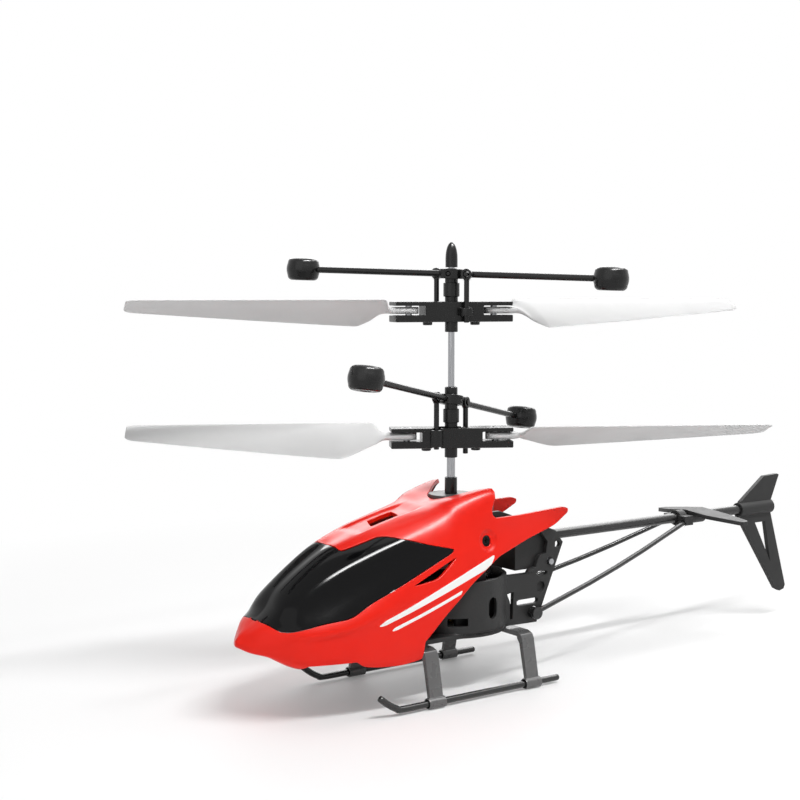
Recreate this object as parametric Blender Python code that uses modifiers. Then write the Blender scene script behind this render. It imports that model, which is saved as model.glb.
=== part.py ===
"""Toy helicopter with two coaxial rotors on a snap-together plastic airframe.

Metres, +Z up. The nose points to -Y and the left side to +X. Places are written from the mast axis,
with the ground at zero; the root empty then moves everything so that the origin lies on the ground
under the middle of the whole object.
"""

import math

import bmesh
import bpy
from mathutils import Matrix, Vector

for old in list(bpy.data.objects):
    bpy.data.objects.remove(old, do_unlink=True)

MM = 0.001

# Clearances
SEAT_GAP = 0.3 * MM
RUN_GAP = 0.1 * MM
PIVOT_GAP = 0.15 * MM
EMBED = 0.4 * MM

# Rotors
ROTOR_RADIUS = 80.0 * MM
LOWER_ROTOR_Z = 61.3 * MM
UPPER_ROTOR_Z = 92.4 * MM
LOWER_BLADE_ANGLE = math.radians(60.8)
UPPER_BLADE_ANGLE = math.radians(72.0)
LOWER_BAR_ANGLE = math.radians(52.6)
UPPER_BAR_ANGLE = math.radians(-36.5)
LOWER_BAR_TILT = math.radians(10.6)
UPPER_BAR_TILT = math.radians(1.9)

# Shafts
INNER_SHAFT_RADIUS = 0.8 * MM
OUTER_SHAFT_RADIUS = 1.04 * MM
OUTER_SHAFT_WALL = 0.16 * MM
SHAFT_FOOT_Z = 13.2 * MM

# Hubs
HUB_NECK_RADIUS = 1.6 * MM
HUB_POST_RADIUS = 2.0 * MM
HUB_BELOW = 5.0 * MM
LOWER_HUB_ABOVE_BAR = 3.3 * MM
UPPER_HUB_ABOVE_BAR = 1.3 * MM
YOKE_PIN_RADIUS = 0.7 * MM
YOKE_PIN_REACH = 4.8 * MM
BAR_PIN_RADIUS = 0.5 * MM
CAP_RADIUS = 1.5 * MM
CAP_HEIGHT = 6.2 * MM

# Yokes
YOKE_REACH = 15.2 * MM
YOKE_WIDTH = 6.0 * MM
YOKE_HEIGHT = 5.0 * MM
YOKE_WINDOW_X = 3.3 * MM
YOKE_WINDOW_Y = 2.4 * MM
FORK_DEPTH = 7.7 * MM
FORK_SLOT_RISE = 0.35 * MM
YOKE_BOSS_X = 6.2 * MM
YOKE_BOSS_RADIUS = 1.2 * MM
YOKE_BOSS_DROP = 0.8 * MM
EAR_RADIUS = 1.75 * MM
EAR_HEIGHT = 2.0 * MM
EAR_HOLE_RADIUS = 1.15 * MM

# Blades and their bolts
BOLT_X = 11.1 * MM
BOLT_RADIUS = 0.8 * MM
BOLT_HEAD_RADIUS = 1.4 * MM
BOLT_HEAD_HEIGHT = 0.35 * MM
BOLT_SINK = 0.5 * MM
BLADE_ROOT_THICKNESS = 1.7 * MM
BLADE_ROOT_WIDTH = 5.0 * MM
BLADE_NECK_X = 16.2 * MM
BLADE_LEAD_FULL_X = 19.4 * MM
LOWER_FLARE_X = 28.6 * MM
UPPER_FLARE_X = 21.2 * MM
BLADE_THICKNESS = 0.9 * MM
BLADE_LEAD = 8.0 * MM
BLADE_TRAIL = 12.6 * MM
BLADE_TIP_TRAIL = 0.5 * MM
BLADE_TIP_ROUND = 2.4 * MM
BLADE_CAMBER = 0.8 * MM
BLADE_PITCH = math.radians(19.0)

# Flybars, their weights and the push rods
FLYBAR_RISE = 9.3 * MM
FLYBAR_RADIUS = 0.8 * MM
FLYBAR_RING_INNER = 2.1 * MM
FLYBAR_RING_OUTER = 3.0 * MM
FLYBAR_RING_HEIGHT = 2.4 * MM
WEIGHT_X = 39.6 * MM
WEIGHT_RADIUS = 4.25 * MM
WEIGHT_HEIGHT = 5.6 * MM
WEIGHT_ROUND = 1.3 * MM
WEIGHT_BORE_DEPTH = 2.4 * MM
LINK_ARM = 4.4 * MM
LINK_SIDE = 1.7 * MM
LINK_EYE_RADIUS = 1.4 * MM
LINK_EYE_WIDTH = 1.2 * MM
LINK_PIN_RADIUS = 0.6 * MM
LINK_ROD_RADIUS = 0.65 * MM
LINK_BELOW_EAR = 1.5 * MM

# Drive train
GEAR_MODULE = 0.4 * MM
GEAR_TEETH = 40
PINION_TEETH = 8
GEAR_WIDTH = 2.0 * MM
GEAR_HUB_RADIUS = 2.4 * MM
GEAR_HUB_DROP = 0.5 * MM
UPPER_GEAR_Z = 28.6 * MM
LOWER_GEAR_Z = 32.1 * MM
PINION_OVERHANG = 0.4 * MM
MOTOR_RADIUS = 3.0 * MM
MOTOR_LENGTH = 11.0 * MM
MOTOR_SHAFT_RADIUS = 0.4 * MM
MOTOR_WALL_GAP = 0.25 * MM

# Frame halves
BARREL_WALL = 1.0 * MM
BARREL_BOTTOM_Z = 13.8 * MM
BARREL_TOP_Z = 27.4 * MM
FLOOR_THICKNESS = 1.2 * MM
SPLIT_GAP = 0.3 * MM
BARREL_SLOT_Y = 2.6 * MM
BARREL_SLOT_Z = 20.4 * MM
BARREL_SLOT_WIDTH = 2.8 * MM
BARREL_SLOT_HEIGHT = 5.4 * MM
BARREL_PORT_ANGLE = math.radians(30.0)
BARREL_PORT_Z = 17.7 * MM
BARREL_PORT_WIDTH = 5.0 * MM
BARREL_PORT_HEIGHT = 1.9 * MM
PLATE_X = 9.0 * MM
PLATE_THICKNESS = 1.2 * MM
PLATE_FRONT_Y = -6.0 * MM
PLATE_TOP_Z = 43.4 * MM
PLATE_STEP_Y = 7.5 * MM
PLATE_REAR_TOP_Y = 28.3 * MM
PLATE_REAR_TOP_Z = 33.6 * MM
PLATE_REAR_LOW_Y = 19.6 * MM
PLATE_SHOULDER_BACK = 2.6 * MM
PLATE_SHOULDER_RISE = 3.3 * MM
PLATE_HOLE_INSET = 1.75 * MM
PLATE_TOP_HOLE_Z = 33.2 * MM
PLATE_TOP_HOLE_RADIUS = 0.9 * MM
PLATE_BIG_HOLE_Z = 22.9 * MM
PLATE_BIG_HOLE_RADIUS = 1.4 * MM
PLATE_PAD_RADIUS = 1.9 * MM
PLATE_PAD_HEIGHT = 0.8 * MM
PLATE_SHORT_SLOT_Z = 26.3 * MM
PLATE_SHORT_SLOT_LENGTH = 3.5 * MM
PLATE_SHORT_SLOT_WIDTH = 1.15 * MM
PLATE_LONG_SLOT_Z = 19.6 * MM
PLATE_LONG_SLOT_LENGTH = 7.0 * MM
PLATE_LONG_SLOT_WIDTH = 1.4 * MM
TRAY_FRONT_Y = -40.0 * MM
TRAY_HALF_WIDTH = 12.5 * MM
BOARD_PEG_RADIUS = 0.9 * MM
CANOPY_SCREW_Y = 0.8 * MM
CANOPY_SCREW_Z = 37.2 * MM
CANOPY_BOSS_RADIUS = 1.4 * MM
CANOPY_BOSS_LENGTH = 1.9 * MM

# Bearings of the mast
BUSH_RADIUS = 1.7 * MM
BUSH_HEIGHT = 3.0 * MM
COLLAR_RADIUS = 1.55 * MM
COLLAR_TOP_Z = 51.4 * MM
COLLAR_FLANGE_RADIUS = 3.0 * MM
COLLAR_FLANGE_HEIGHT = 1.0 * MM
DECK_THICKNESS = 1.4 * MM
DECK_LENGTH = 11.0 * MM
DECK_DISC_RADIUS = 5.6 * MM
DECK_DISC_TOP_Z = 47.3 * MM

# Electrics on the tray
BATTERY_SIZE = (12.0 * MM, 20.0 * MM, 6.0 * MM)
BATTERY_Y = -25.0 * MM
BATTERY_ROUND = 1.2 * MM
BOARD_SIZE = (18.0 * MM, 22.0 * MM, 1.0 * MM)
BOARD_Y = -27.0 * MM
BOARD_RISE = 1.2 * MM
CHIP_SIZE = (6.0 * MM, 6.0 * MM, 1.0 * MM)
SENSOR_Y = -37.6 * MM
SENSOR_RADIUS = 1.0 * MM
SENSOR_HEIGHT = 2.6 * MM
SENSOR_DROP = 1.6 * MM
SOCKET_SIZE = (4.2 * MM, 6.0 * MM, 3.6 * MM)
SOCKET_X = -9.9 * MM
SOCKET_Y = -24.0 * MM
SOCKET_HOLE_RADIUS = 1.1 * MM
SOCKET_HOLE_DEPTH = 2.6 * MM
SWITCH_SIZE = (4.2 * MM, 8.0 * MM, 3.6 * MM)
SWITCH_X = 9.9 * MM
SWITCH_Y = -24.0 * MM
SWITCH_TRAVEL = 2.0 * MM
SLIDER_SIZE = (1.6 * MM, 1.8 * MM)
SLIDER_DROP = 1.4 * MM
SLIDER_RISE = 1.8 * MM

# Landing gear
SKID_X = 17.0 * MM
SKID_RADIUS = 0.8 * MM
SKID_FRONT_Y = -27.0 * MM
SKID_REAR_Y = 20.5 * MM
SKID_TIP_REACH = 6.0 * MM
SKID_TIP_RISE = 3.4 * MM
SLEEVE_RADIUS = 1.35 * MM
SLEEVE_LENGTH = 4.9 * MM
SLEEVE_FLAT = 0.15 * MM
FRONT_BOW_Y = -17.3 * MM
REAR_BOW_Y = 12.2 * MM
BOW_WIDTH = 3.9 * MM
BOW_THICKNESS = 1.2 * MM
BOW_SHOULDER_X = 15.0 * MM
BOW_BEND = 1.6 * MM

# Tail
BOOM_RADIUS = 1.35 * MM
BOOM_Z = 33.6 * MM
BOOM_FRONT_Y = 15.0 * MM
BOOM_REAR_Y = 118.5 * MM
BOOM_SOCKET_LENGTH = 13.4 * MM
BOOM_SOCKET_HEIGHT = 5.4 * MM
BOOM_SOCKET_REAR_Y = 27.0 * MM
SOCKET_PIN_RADIUS = 0.8 * MM
SOCKET_PIN_INSET = 3.2 * MM
SOCKET_PIN_DROP = 4.5 * MM
FIN_THICKNESS = 1.3 * MM
FIN_SLEEVE_WALL = 0.55 * MM
FIN_FRONT_Y = 105.0 * MM
FIN_REAR_Y = 126.6 * MM
FIN_TOP_Z = 43.1 * MM
FIN_LOW_Z = 7.8 * MM
FIN_NOSE_DROP = 2.1 * MM
FIN_NOSE_BACK = 2.2 * MM
FIN_FOOT_LENGTH = 4.5 * MM
FIN_TOP_BACK = 3.6 * MM
FIN_TOP_FRONT = 3.0 * MM
FIN_TOE = 0.6 * MM
FIN_WINDOW_LENGTH = 4.4 * MM
FIN_WINDOW_HEIGHT = 12.2 * MM
FIN_WINDOW_DROP = 4.4 * MM
FIN_WINDOW_BACK = 2.2 * MM
STABILIZER_Y = 87.0 * MM
STABILIZER_SPAN = 16.2 * MM
STABILIZER_CHORD = 7.6 * MM
STABILIZER_TIP_CHORD = 3.4 * MM
STABILIZER_SWEEP = 3.4 * MM
STABILIZER_THICKNESS = 1.1 * MM
STABILIZER_RISE = 1.6 * MM
STABILIZER_DROOP = 2.1 * MM
STABILIZER_SLEEVE = 6.4 * MM
SCREW_RADIUS = 0.6 * MM
SCREW_HEAD_RADIUS = 1.2 * MM
SCREW_HEAD_HEIGHT = 0.6 * MM
CLIP_Y = 80.9 * MM
CLIP_LENGTH = 2.6 * MM
CLIP_WALL = 0.7 * MM
CLIP_LUG_REACH = 4.1 * MM
CLIP_LUG_HEIGHT = 2.6 * MM
CLIP_LUG_DROP = 0.4 * MM
ROD_RADIUS = 0.7 * MM
ROD_EYE_RADIUS = 1.6 * MM
ROD_EYE_WIDTH = 2.2 * MM
ROD_FOOT_Y = 17.9 * MM
ROD_FOOT_Z = 16.9 * MM
ROD_TOP_X = 3.0 * MM
ROD_SAG = 1.0 * MM

# Canopy
CANOPY_WALL = 1.15 * MM
WINDOW_GAP = 0.3 * MM
MAST_HOLE_GAP = 0.45 * MM
EAR_TIP_X = 11.8 * MM
EAR_TIP_Y = 5.0 * MM
NOSE_RAKE = 0.4
NOSE_RAKE_END_Y = -50.0
CANOPY_SCREW_HOLE = 1.55 * MM
TONGUE_SLOT_HALF = 2.6 * MM
TONGUE_SLOT_FRONT_Y = -26.0 * MM
TONGUE_SLOT_REAR_Y = -16.4 * MM
TONGUE_SLOT_SLANT = 2.2 * MM
TONGUE_SLOT_REAR_SLANT = 1.2 * MM

# Guide lines of the canopy in millimetres: y, then the height of the floor on the centre line, x and z
# of the bottom edge, of the fullest line, of the shoulder under the window and of the ridge that ends
# in the ear, and last the height of the crown on the centre line.
CANOPY_GUIDES = (
    (-60.9, 17.5, (0.6, 17.6), (0.9, 18.3), (0.8, 19.4), (0.5, 19.9), 20.0),
    (-60.3, 16.9, (1.8, 17.0), (2.6, 18.0), (2.2, 20.0), (1.1, 20.7), 20.9),
    (-58.8, 16.2, (4.2, 16.3), (5.4, 18.1), (4.8, 21.2), (2.5, 22.2), 22.5),
    (-55.5, 15.3, (7.0, 15.4), (8.8, 18.5), (8.0, 21.8), (3.6, 24.3), 25.0),
    (-50.0, 12.6, (10.0, 12.8), (12.3, 18.8), (11.5, 22.1), (4.6, 28.8), 29.9),
    (-40.0, 9.0, (13.4, 11.6), (15.4, 19.4), (14.8, 23.8), (5.6, 35.5), 36.7),
    (-30.0, 7.0, (14.4, 9.6), (16.4, 20.5), (15.6, 28.4), (7.3, 39.4), 41.0),
    (-20.0, 7.0, (14.8, 9.6), (16.7, 21.5), (15.1, 32.4), (8.7, 42.0), 43.9),
    (-11.0, 7.0, (14.6, 9.6), (16.4, 22.5), (14.5, 35.6), (10.0, 44.4), 45.6),
    (-6.0, 7.0, (14.4, 9.6), (16.0, 23.5), (14.2, 37.0), (10.6, 46.9), 46.4),
    (4.8, 7.0, (13.8, 9.6), (15.2, 25.0), (13.6, 38.4), (11.5, 49.2), 47.0),
    (18.0, 7.0, (12.0, 12.0), (13.0, 28.0), (12.0, 39.0), (10.4, 48.0), 47.0),
    (32.0, 7.0, (10.0, 14.0), (11.0, 30.0), (10.6, 40.5), (9.2, 47.0), 46.5),
)
# Side outline of the canopy: the lower edge from the chin to the rear, then the swallow tail and the ear.
CANOPY_SIDE = (
    (-55.0, 14.9), (-54.0, 13.0), (-52.0, 11.9), (-50.2, 11.8), (-48.8, 13.2), (-38.2, 13.5), (-36.2, 12.0),
    (-32.3, 11.4), (-26.0, 11.0), (-20.6, 11.8), (-20.0, 15.9), (-14.0, 21.1), (-4.9, 27.9),
    (3.8, 33.1), (13.5, 35.9), (24.5, 38.5), (29.4, 41.2), (29.6, 42.2), (28.0, 42.8), (12.7, 42.3),
    (3.8, 42.4), (2.7, 43.2), (2.6, 44.6), (4.6, 49.0),
)
# Side outline of the window: the lower edge from nose to rear corner, then forward over the red tongue.
WINDOW_SIDE = (
    (-56.6, 23.0), (-54.2, 21.3), (-52.6, 21.3), (-46.0, 22.8), (-39.4, 23.7), (-34.0, 26.7), (-10.3, 35.6),
    (-9.8, 36.4),
    (-20.7, 38.9), (-26.8, 40.3), (-36.9, 37.2),
)
# Side outline of the triangular vent behind the window.
VENT_SIDE = ((-24.7, 28.8), (-7.6, 35.4), (-15.2, 29.9))
# Side outline of the frame plate's opening over the gears, with its stepped lower edge, and of the gap
# between the plate and the gear barrel.
PLATE_OPENING = (
    (3.2, 26.6), (9.0, 26.6), (10.4, 27.0), (16.5, 26.9), (17.1, 27.7), (19.2, 28.1), (20.0, 30.2),
    (20.8, 31.0), (22.6, 31.3), (23.1, 34.2), (20.5, 37.2), (14.5, 36.3), (5.0, 33.8), (3.2, 31.8),
)
PLATE_GAP = ((10.0, 22.2), (12.0, 22.6), (11.7, 15.6), (10.9, 15.6), (10.9, 20.2))
CANOPY_TOP_Z = 60.0 * MM
CANOPY_FRONT_Y = -66.0 * MM

PARTS = bpy.data.collections.new("toy_helicopter")
CUTTERS = bpy.data.collections.new("cutters")
bpy.context.scene.collection.children.link(PARTS)
bpy.context.scene.collection.children.link(CUTTERS)


def paint(name, rgb, roughness, metallic=0.0):
    material = bpy.data.materials.new(name)
    material.use_nodes = True
    shader = material.node_tree.nodes["Principled BSDF"]
    shader.inputs["Base Color"].default_value = (*rgb, 1.0)
    shader.inputs["Roughness"].default_value = roughness
    shader.inputs["Metallic"].default_value = metallic
    return material


RED = paint("red_gloss_plastic", (0.80, 0.02, 0.01), 0.25)
SMOKE = paint("black_window", (0.01, 0.01, 0.01), 0.08)
BLACK = paint("black_frame_plastic", (0.03, 0.03, 0.03), 0.55)
GLOSS_BLACK = paint("black_rotor_plastic", (0.012, 0.012, 0.012), 0.3)
DARK_GREY = paint("dark_grey_plastic", (0.07, 0.07, 0.075), 0.45)
WHITE = paint("white_blade_plastic", (0.72, 0.72, 0.72), 0.4)
STEEL = paint("bright_steel", (0.6, 0.6, 0.6), 0.2, 1.0)
BRASS = paint("brass", (0.7, 0.5, 0.2), 0.3, 1.0)
NYLON = paint("black_nylon", (0.02, 0.02, 0.02), 0.5)
CELL = paint("battery_wrap", (0.35, 0.37, 0.4), 0.4)
LAMINATE = paint("green_board", (0.02, 0.16, 0.06), 0.5)


def empty(name, location, rotation, parent):
    obj = bpy.data.objects.new(name, None)
    obj.location = location
    obj.rotation_euler = rotation
    obj.parent = parent
    PARTS.objects.link(obj)
    return obj


def add(name, mesh, material, parent, location=(0, 0, 0), rotation=(0, 0, 0)):
    """One named piece, shaded smooth on its round sides."""
    mesh.name = name
    mesh.materials.clear()
    mesh.materials.append(material)
    mesh.shade_smooth()
    mesh.set_sharp_from_angle(angle=math.radians(35))
    obj = bpy.data.objects.new(name, mesh)
    obj.location = location
    obj.rotation_euler = rotation
    obj.parent = parent
    PARTS.objects.link(obj)
    return obj


def work(obj, operation, mesh):
    """Cuts a mesh from a piece, or joins it on, with a Boolean in the piece's own frame."""
    tool = bpy.data.objects.new(f"{obj.name}_{operation.lower()}_{len(obj.modifiers)}", mesh)
    tool.parent = obj
    tool.hide_render = True
    tool.display_type = "WIRE"
    CUTTERS.objects.link(tool)
    modifier = obj.modifiers.new(operation.lower(), "BOOLEAN")
    modifier.operation = operation
    modifier.solver = "EXACT"
    modifier.object = tool
    return obj


def cut(obj, mesh):
    return work(obj, "DIFFERENCE", mesh)


def join(obj, mesh):
    return work(obj, "UNION", mesh)


def mesh_of(bm):
    mesh = bpy.data.meshes.new("shape")
    bm.to_mesh(mesh)
    bm.free()
    return mesh


def block(low, high):
    low, high = Vector(low), Vector(high)
    size = high - low
    bm = bmesh.new()
    bmesh.ops.create_cube(bm, size=1.0)
    bmesh.ops.scale(bm, vec=size, verts=bm.verts)
    bmesh.ops.translate(bm, vec=(low + high) / 2, verts=bm.verts)
    return mesh_of(bm)


def rod(start, end, radius, sides=16):
    start, end = Vector(start), Vector(end)
    along = end - start
    place = Matrix.Translation((start + end) / 2) @ along.to_track_quat("Z", "Y").to_matrix().to_4x4()
    bm = bmesh.new()
    ends = {"radius1": radius, "radius2": radius, "depth": along.length}
    bmesh.ops.create_cone(bm, cap_ends=True, segments=sides, **ends)
    bmesh.ops.transform(bm, matrix=place, verts=bm.verts)
    return mesh_of(bm)


def circle(x, y, radius, sides=16):
    return arc(x, y, radius, 0.0, 2 * math.pi * (1 - 1 / sides), sides - 1)


def arc(x, y, radius, start, end, steps):
    angles = [start + (end - start) * i / steps for i in range(steps + 1)]
    return [(x + radius * math.cos(a), y + radius * math.sin(a)) for a in angles]


def stadium(x, y, width, height, steps=4):
    """A slot outline with round ends, as tall as height."""
    radius = width / 2
    straight = height / 2 - radius
    top = arc(x, y + straight, radius, 0.0, math.pi, steps)
    return top + arc(x, y - straight, radius, math.pi, 2 * math.pi, steps)


TURNS = {
    "Z": Matrix.Identity(4),
    "X": Matrix(((0, 0, 1, 0), (1, 0, 0, 0), (0, 1, 0, 0), (0, 0, 0, 1))),
    "Y": Matrix(((1, 0, 0, 0), (0, 0, -1, 0), (0, 1, 0, 0), (0, 0, 0, 1))),
}


def mesh_from_curve(curve):
    guide = bpy.data.objects.new("guide", curve)
    CUTTERS.objects.link(guide)
    bpy.context.view_layer.update()
    graph = bpy.context.evaluated_depsgraph_get()
    mesh = bpy.data.meshes.new_from_object(guide.evaluated_get(graph))
    bpy.data.objects.remove(guide, do_unlink=True)
    bm = bmesh.new()
    bm.from_mesh(mesh)
    bmesh.ops.remove_doubles(bm, verts=bm.verts, dist=1e-6)
    bmesh.ops.recalc_face_normals(bm, faces=bm.faces)
    bm.to_mesh(mesh)
    bm.free()
    return mesh


def plate(outline, low, high, axis, holes=()):
    """A flat outline with holes, from low to high along an axis: (y, z) for X, (x, z) for Y, (x, y) for Z."""
    curve = bpy.data.curves.new("outline", "CURVE")
    curve.dimensions = "2D"
    curve.fill_mode = "BOTH"
    curve.extrude = (high - low) / 2
    for loop in (outline, *holes):
        spline = curve.splines.new("POLY")
        spline.points.add(len(loop) - 1)
        spline.use_cyclic_u = True
        for point, (u, v) in zip(spline.points, loop):
            point.co = (u, v, 0.0, 1.0)
    mesh = mesh_from_curve(curve)
    middle = (low + high) / 2
    shift = {"X": (middle, 0, 0), "Y": (0, middle, 0), "Z": (0, 0, middle)}[axis]
    mesh.transform(Matrix.Translation(shift) @ TURNS[axis])
    return mesh


def tube(points, radius, resolution=2):
    """A round rod along hand-chosen points, on one smooth run of straight pieces."""
    curve = bpy.data.curves.new("run", "CURVE")
    curve.dimensions = "3D"
    curve.bevel_depth = radius
    curve.bevel_resolution = resolution
    curve.use_fill_caps = True
    spline = curve.splines.new("POLY")
    spline.points.add(len(points) - 1)
    for place, point in zip(spline.points, points):
        place.co = (*point, 1.0)
    return mesh_from_curve(curve)


def turned(name, profile, material, parent, location=(0, 0, 0), rotation=(0, 0, 0), sides=18, closed=False):
    """A turned piece from its profile of (radius, z), which runs down the outer side."""
    bm = bmesh.new()
    verts = [bm.verts.new((radius, 0.0, z)) for radius, z in profile]
    pairs = list(zip(verts, verts[1:]))
    if closed:
        pairs.append((verts[-1], verts[0]))
    for pair in pairs:
        bm.edges.new(pair)
    obj = add(name, mesh_of(bm), material, parent, location, rotation)
    screw = obj.modifiers.new("turn", "SCREW")
    screw.axis = "Z"
    screw.steps = sides
    screw.render_steps = sides
    screw.use_merge_vertices = True
    screw.merge_threshold = 1e-6
    return obj


def ring(name, inner, outer, low, high, material, parent, location=(0, 0, 0)):
    profile = ((outer, high), (outer, low), (inner, low), (inner, high))
    return turned(name, profile, material, parent, location, closed=True)


def smooth_step(value):
    value = min(max(value, 0.0), 1.0)
    return value * value * (3 - 2 * value)


def through_points(points, steps):
    """A smooth line through the points, with steps pieces between each two of them."""
    line = []
    last = len(points) - 1
    for i in range(last):
        before, start = points[max(i - 1, 0)], points[i]
        end, after = points[i + 1], points[min(i + 2, last)]
        for step in range(steps):
            t = step / steps
            line.append(
                tuple(
                    0.5 * (2 * b + (c - a) * t + (2 * a - 5 * b + 4 * c - d) * t * t
                           + (3 * b - a - 3 * c + d) * t ** 3)
                    for a, b, c, d in zip(before, start, end, after)
                )
            )
    line.append(tuple(points[-1]))
    return line


def offset_outline(points, distance):
    """The outline moved outwards by a distance, for points that run anticlockwise."""
    moved = []
    for i, point in enumerate(points):
        here = Vector(point)
        first = (here - Vector(points[i - 1])).normalized()
        second = (Vector(points[(i + 1) % len(points)]) - here).normalized()
        normal = Vector((first.y + second.y, -first.x - second.x)).normalized()
        spread = max(normal.dot(Vector((first.y, -first.x))), 0.4)
        moved.append(tuple(here + normal * distance / spread))
    return moved


# Where the middle of the whole object lies, seen from the mast
blade_nose = ROTOR_RADIUS * math.sin(UPPER_BLADE_ANGLE) + BLADE_LEAD * math.cos(UPPER_BLADE_ANGLE)
MIDDLE_Y = (FIN_REAR_Y - blade_nose) / 2
ROOT = empty("helicopter", (0, -MIDDLE_Y, 0), (0, 0, 0), None)


def canopy_body(inset, past):
    """The canopy as a solid over its guide lines, drawn in by an inset and run on past the last line."""
    rows = []
    nose_y = CANOPY_GUIDES[0][0]
    for y, floor, bottom, side, shoulder, ridge, crown in CANOPY_GUIDES[1 if inset else 0:]:
        half = through_points(((0.0, floor), bottom, side, shoulder, ridge, (0.0, crown)), 3)
        whole = half + [(-x, z) for x, z in reversed(half[1:-1])]
        fade = min(max((NOSE_RAKE_END_Y - y) / (NOSE_RAKE_END_Y - nose_y), 0.0), 1.0)
        middle = Vector((0.0, (floor + crown) / 2))
        row = []
        for x, z in whole:
            away = Vector((x, z)) - middle
            away *= 1 - inset / away.length
            back = NOSE_RAKE * fade * (z - floor) + inset * fade
            row.append((away.x, y + back, middle.y + away.y))
        rows.append(row)
    rows[-1] = [(x, y + past, z) for x, y, z in rows[-1]]
    columns = [through_points(column, 2) for column in zip(*rows)]
    bm = bmesh.new()
    grid = [[bm.verts.new(Vector(point) * MM) for point in column] for column in columns]
    for left, right in zip(grid, grid[1:] + grid[:1]):
        for i in range(len(left) - 1):
            bm.faces.new((left[i], left[i + 1], right[i + 1], right[i]))
    bm.faces.new([column[0] for column in grid])
    bm.faces.new([column[-1] for column in reversed(grid)])
    bmesh.ops.triangulate(bm, faces=bm.faces)
    if bm.calc_volume(signed=True) < 0:
        bmesh.ops.reverse_faces(bm, faces=bm.faces)
    return mesh_of(bm)


def canopy_wall(name, material):
    wall = add(name, canopy_body(0.0, 0.0), material, ROOT)
    return cut(wall, canopy_body(CANOPY_WALL / MM, 1.0))


def in_metres(outline):
    return [(u * MM, v * MM) for u, v in outline]


def side_prism(outline):
    half = TRAY_HALF_WIDTH + BARREL_RADIUS
    return plate(outline, -half, half, "X")


def build_canopy():
    canopy_side = in_metres(CANOPY_SIDE)
    ear_y, chin_z = canopy_side[-1][0], canopy_side[0][1]
    keep = canopy_side + [(ear_y, CANOPY_TOP_Z), (CANOPY_FRONT_Y, CANOPY_TOP_Z), (CANOPY_FRONT_Y, chin_z)]
    window = in_metres(WINDOW_SIDE)
    tongue_end = WINDOW_SIDE[-1][0] * MM
    brow = [(tongue_end, CANOPY_TOP_Z), (CANOPY_FRONT_Y, CANOPY_TOP_Z), (CANOPY_FRONT_Y, window[0][1])]
    window = window + brow

    shell = canopy_wall("canopy_shell", RED)
    work(shell, "INTERSECT", side_prism(keep))
    cut(shell, side_prism(window))
    cut(shell, side_prism(in_metres(VENT_SIDE)))
    notch = arc(0, 0, DECK_DISC_RADIUS + MAST_HOLE_GAP, math.radians(-130), math.radians(-50), 6)
    rear = BOOM_SOCKET_REAR_Y + BOOM_SOCKET_LENGTH
    notch += [(EAR_TIP_X, EAR_TIP_Y), (EAR_TIP_X, rear), (-EAR_TIP_X, rear), (-EAR_TIP_X, EAR_TIP_Y)]
    cut(shell, plate(notch, PLATE_TOP_Z, CANOPY_TOP_Z, "Z"))
    reach = BARREL_RADIUS + TRAY_HALF_WIDTH
    screw_line = ((-reach, CANOPY_SCREW_Y, CANOPY_SCREW_Z), (reach, CANOPY_SCREW_Y, CANOPY_SCREW_Z))
    cut(shell, rod(*screw_line, CANOPY_SCREW_HOLE))
    slot = (
        (-TONGUE_SLOT_HALF, TONGUE_SLOT_REAR_Y),
        (-TONGUE_SLOT_HALF, TONGUE_SLOT_FRONT_Y + TONGUE_SLOT_SLANT),
        (TONGUE_SLOT_HALF, TONGUE_SLOT_FRONT_Y),
        (TONGUE_SLOT_HALF, TONGUE_SLOT_REAR_Y - TONGUE_SLOT_REAR_SLANT),
    )
    cut(shell, plate(slot, BARREL_TOP_Z, CANOPY_TOP_Z, "Z"))

    pane = canopy_wall("canopy_window", SMOKE)
    work(pane, "INTERSECT", side_prism(offset_outline(window, -WINDOW_GAP)))


PLATE_OUTER_X = PLATE_X + PLATE_THICKNESS
FLOOR_TOP_Z = BARREL_BOTTOM_Z + FLOOR_THICKNESS
MOTOR_Y = GEAR_MODULE * (GEAR_TEETH + PINION_TEETH) / 2 + PIVOT_GAP
BARREL_RADIUS = MOTOR_Y + MOTOR_RADIUS + MOTOR_WALL_GAP + BARREL_WALL
MOTOR_FOOT_Z = FLOOR_TOP_Z + SEAT_GAP
BATTERY_FOOT_Z = FLOOR_TOP_Z + SEAT_GAP
BOARD_Z = BATTERY_FOOT_Z + BATTERY_SIZE[2] + BOARD_RISE
SOCKET_BLOCK_Z = BOOM_Z - BOOM_SOCKET_HEIGHT / 2
SOCKET_PIN_Y = BOOM_SOCKET_REAR_Y - SOCKET_PIN_INSET
SOCKET_PIN_Z = BOOM_Z - SOCKET_PIN_DROP
SLOT_Y = SWITCH_Y - SLIDER_SIZE[1] / 2 - SEAT_GAP
SLOT_LENGTH = SLIDER_SIZE[1] + SWITCH_TRAVEL + 2 * SEAT_GAP
SLOT_WIDTH = SLIDER_SIZE[0] + 2 * SEAT_GAP


def side_plate_outline():
    return [
        (PLATE_FRONT_Y, FLOOR_TOP_Z - EMBED),
        (PLATE_REAR_LOW_Y, FLOOR_TOP_Z - EMBED - FLOOR_THICKNESS / 2),
        (PLATE_REAR_TOP_Y, PLATE_REAR_TOP_Z),
        (PLATE_REAR_TOP_Y - PLATE_SHOULDER_BACK, BOOM_Z + PLATE_SHOULDER_RISE),
        (PLATE_STEP_Y, PLATE_TOP_Z),
        (PLATE_FRONT_Y, PLATE_TOP_Z),
    ]


def rear_edge(z, inset):
    """Where a hole with this inset from the slanted rear edge of the side plate lies at a height."""
    share = (z - FLOOR_TOP_Z) / (PLATE_REAR_TOP_Z - FLOOR_TOP_Z)
    return PLATE_REAR_LOW_Y + (PLATE_REAR_TOP_Y - PLATE_REAR_LOW_Y) * share - inset


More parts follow.
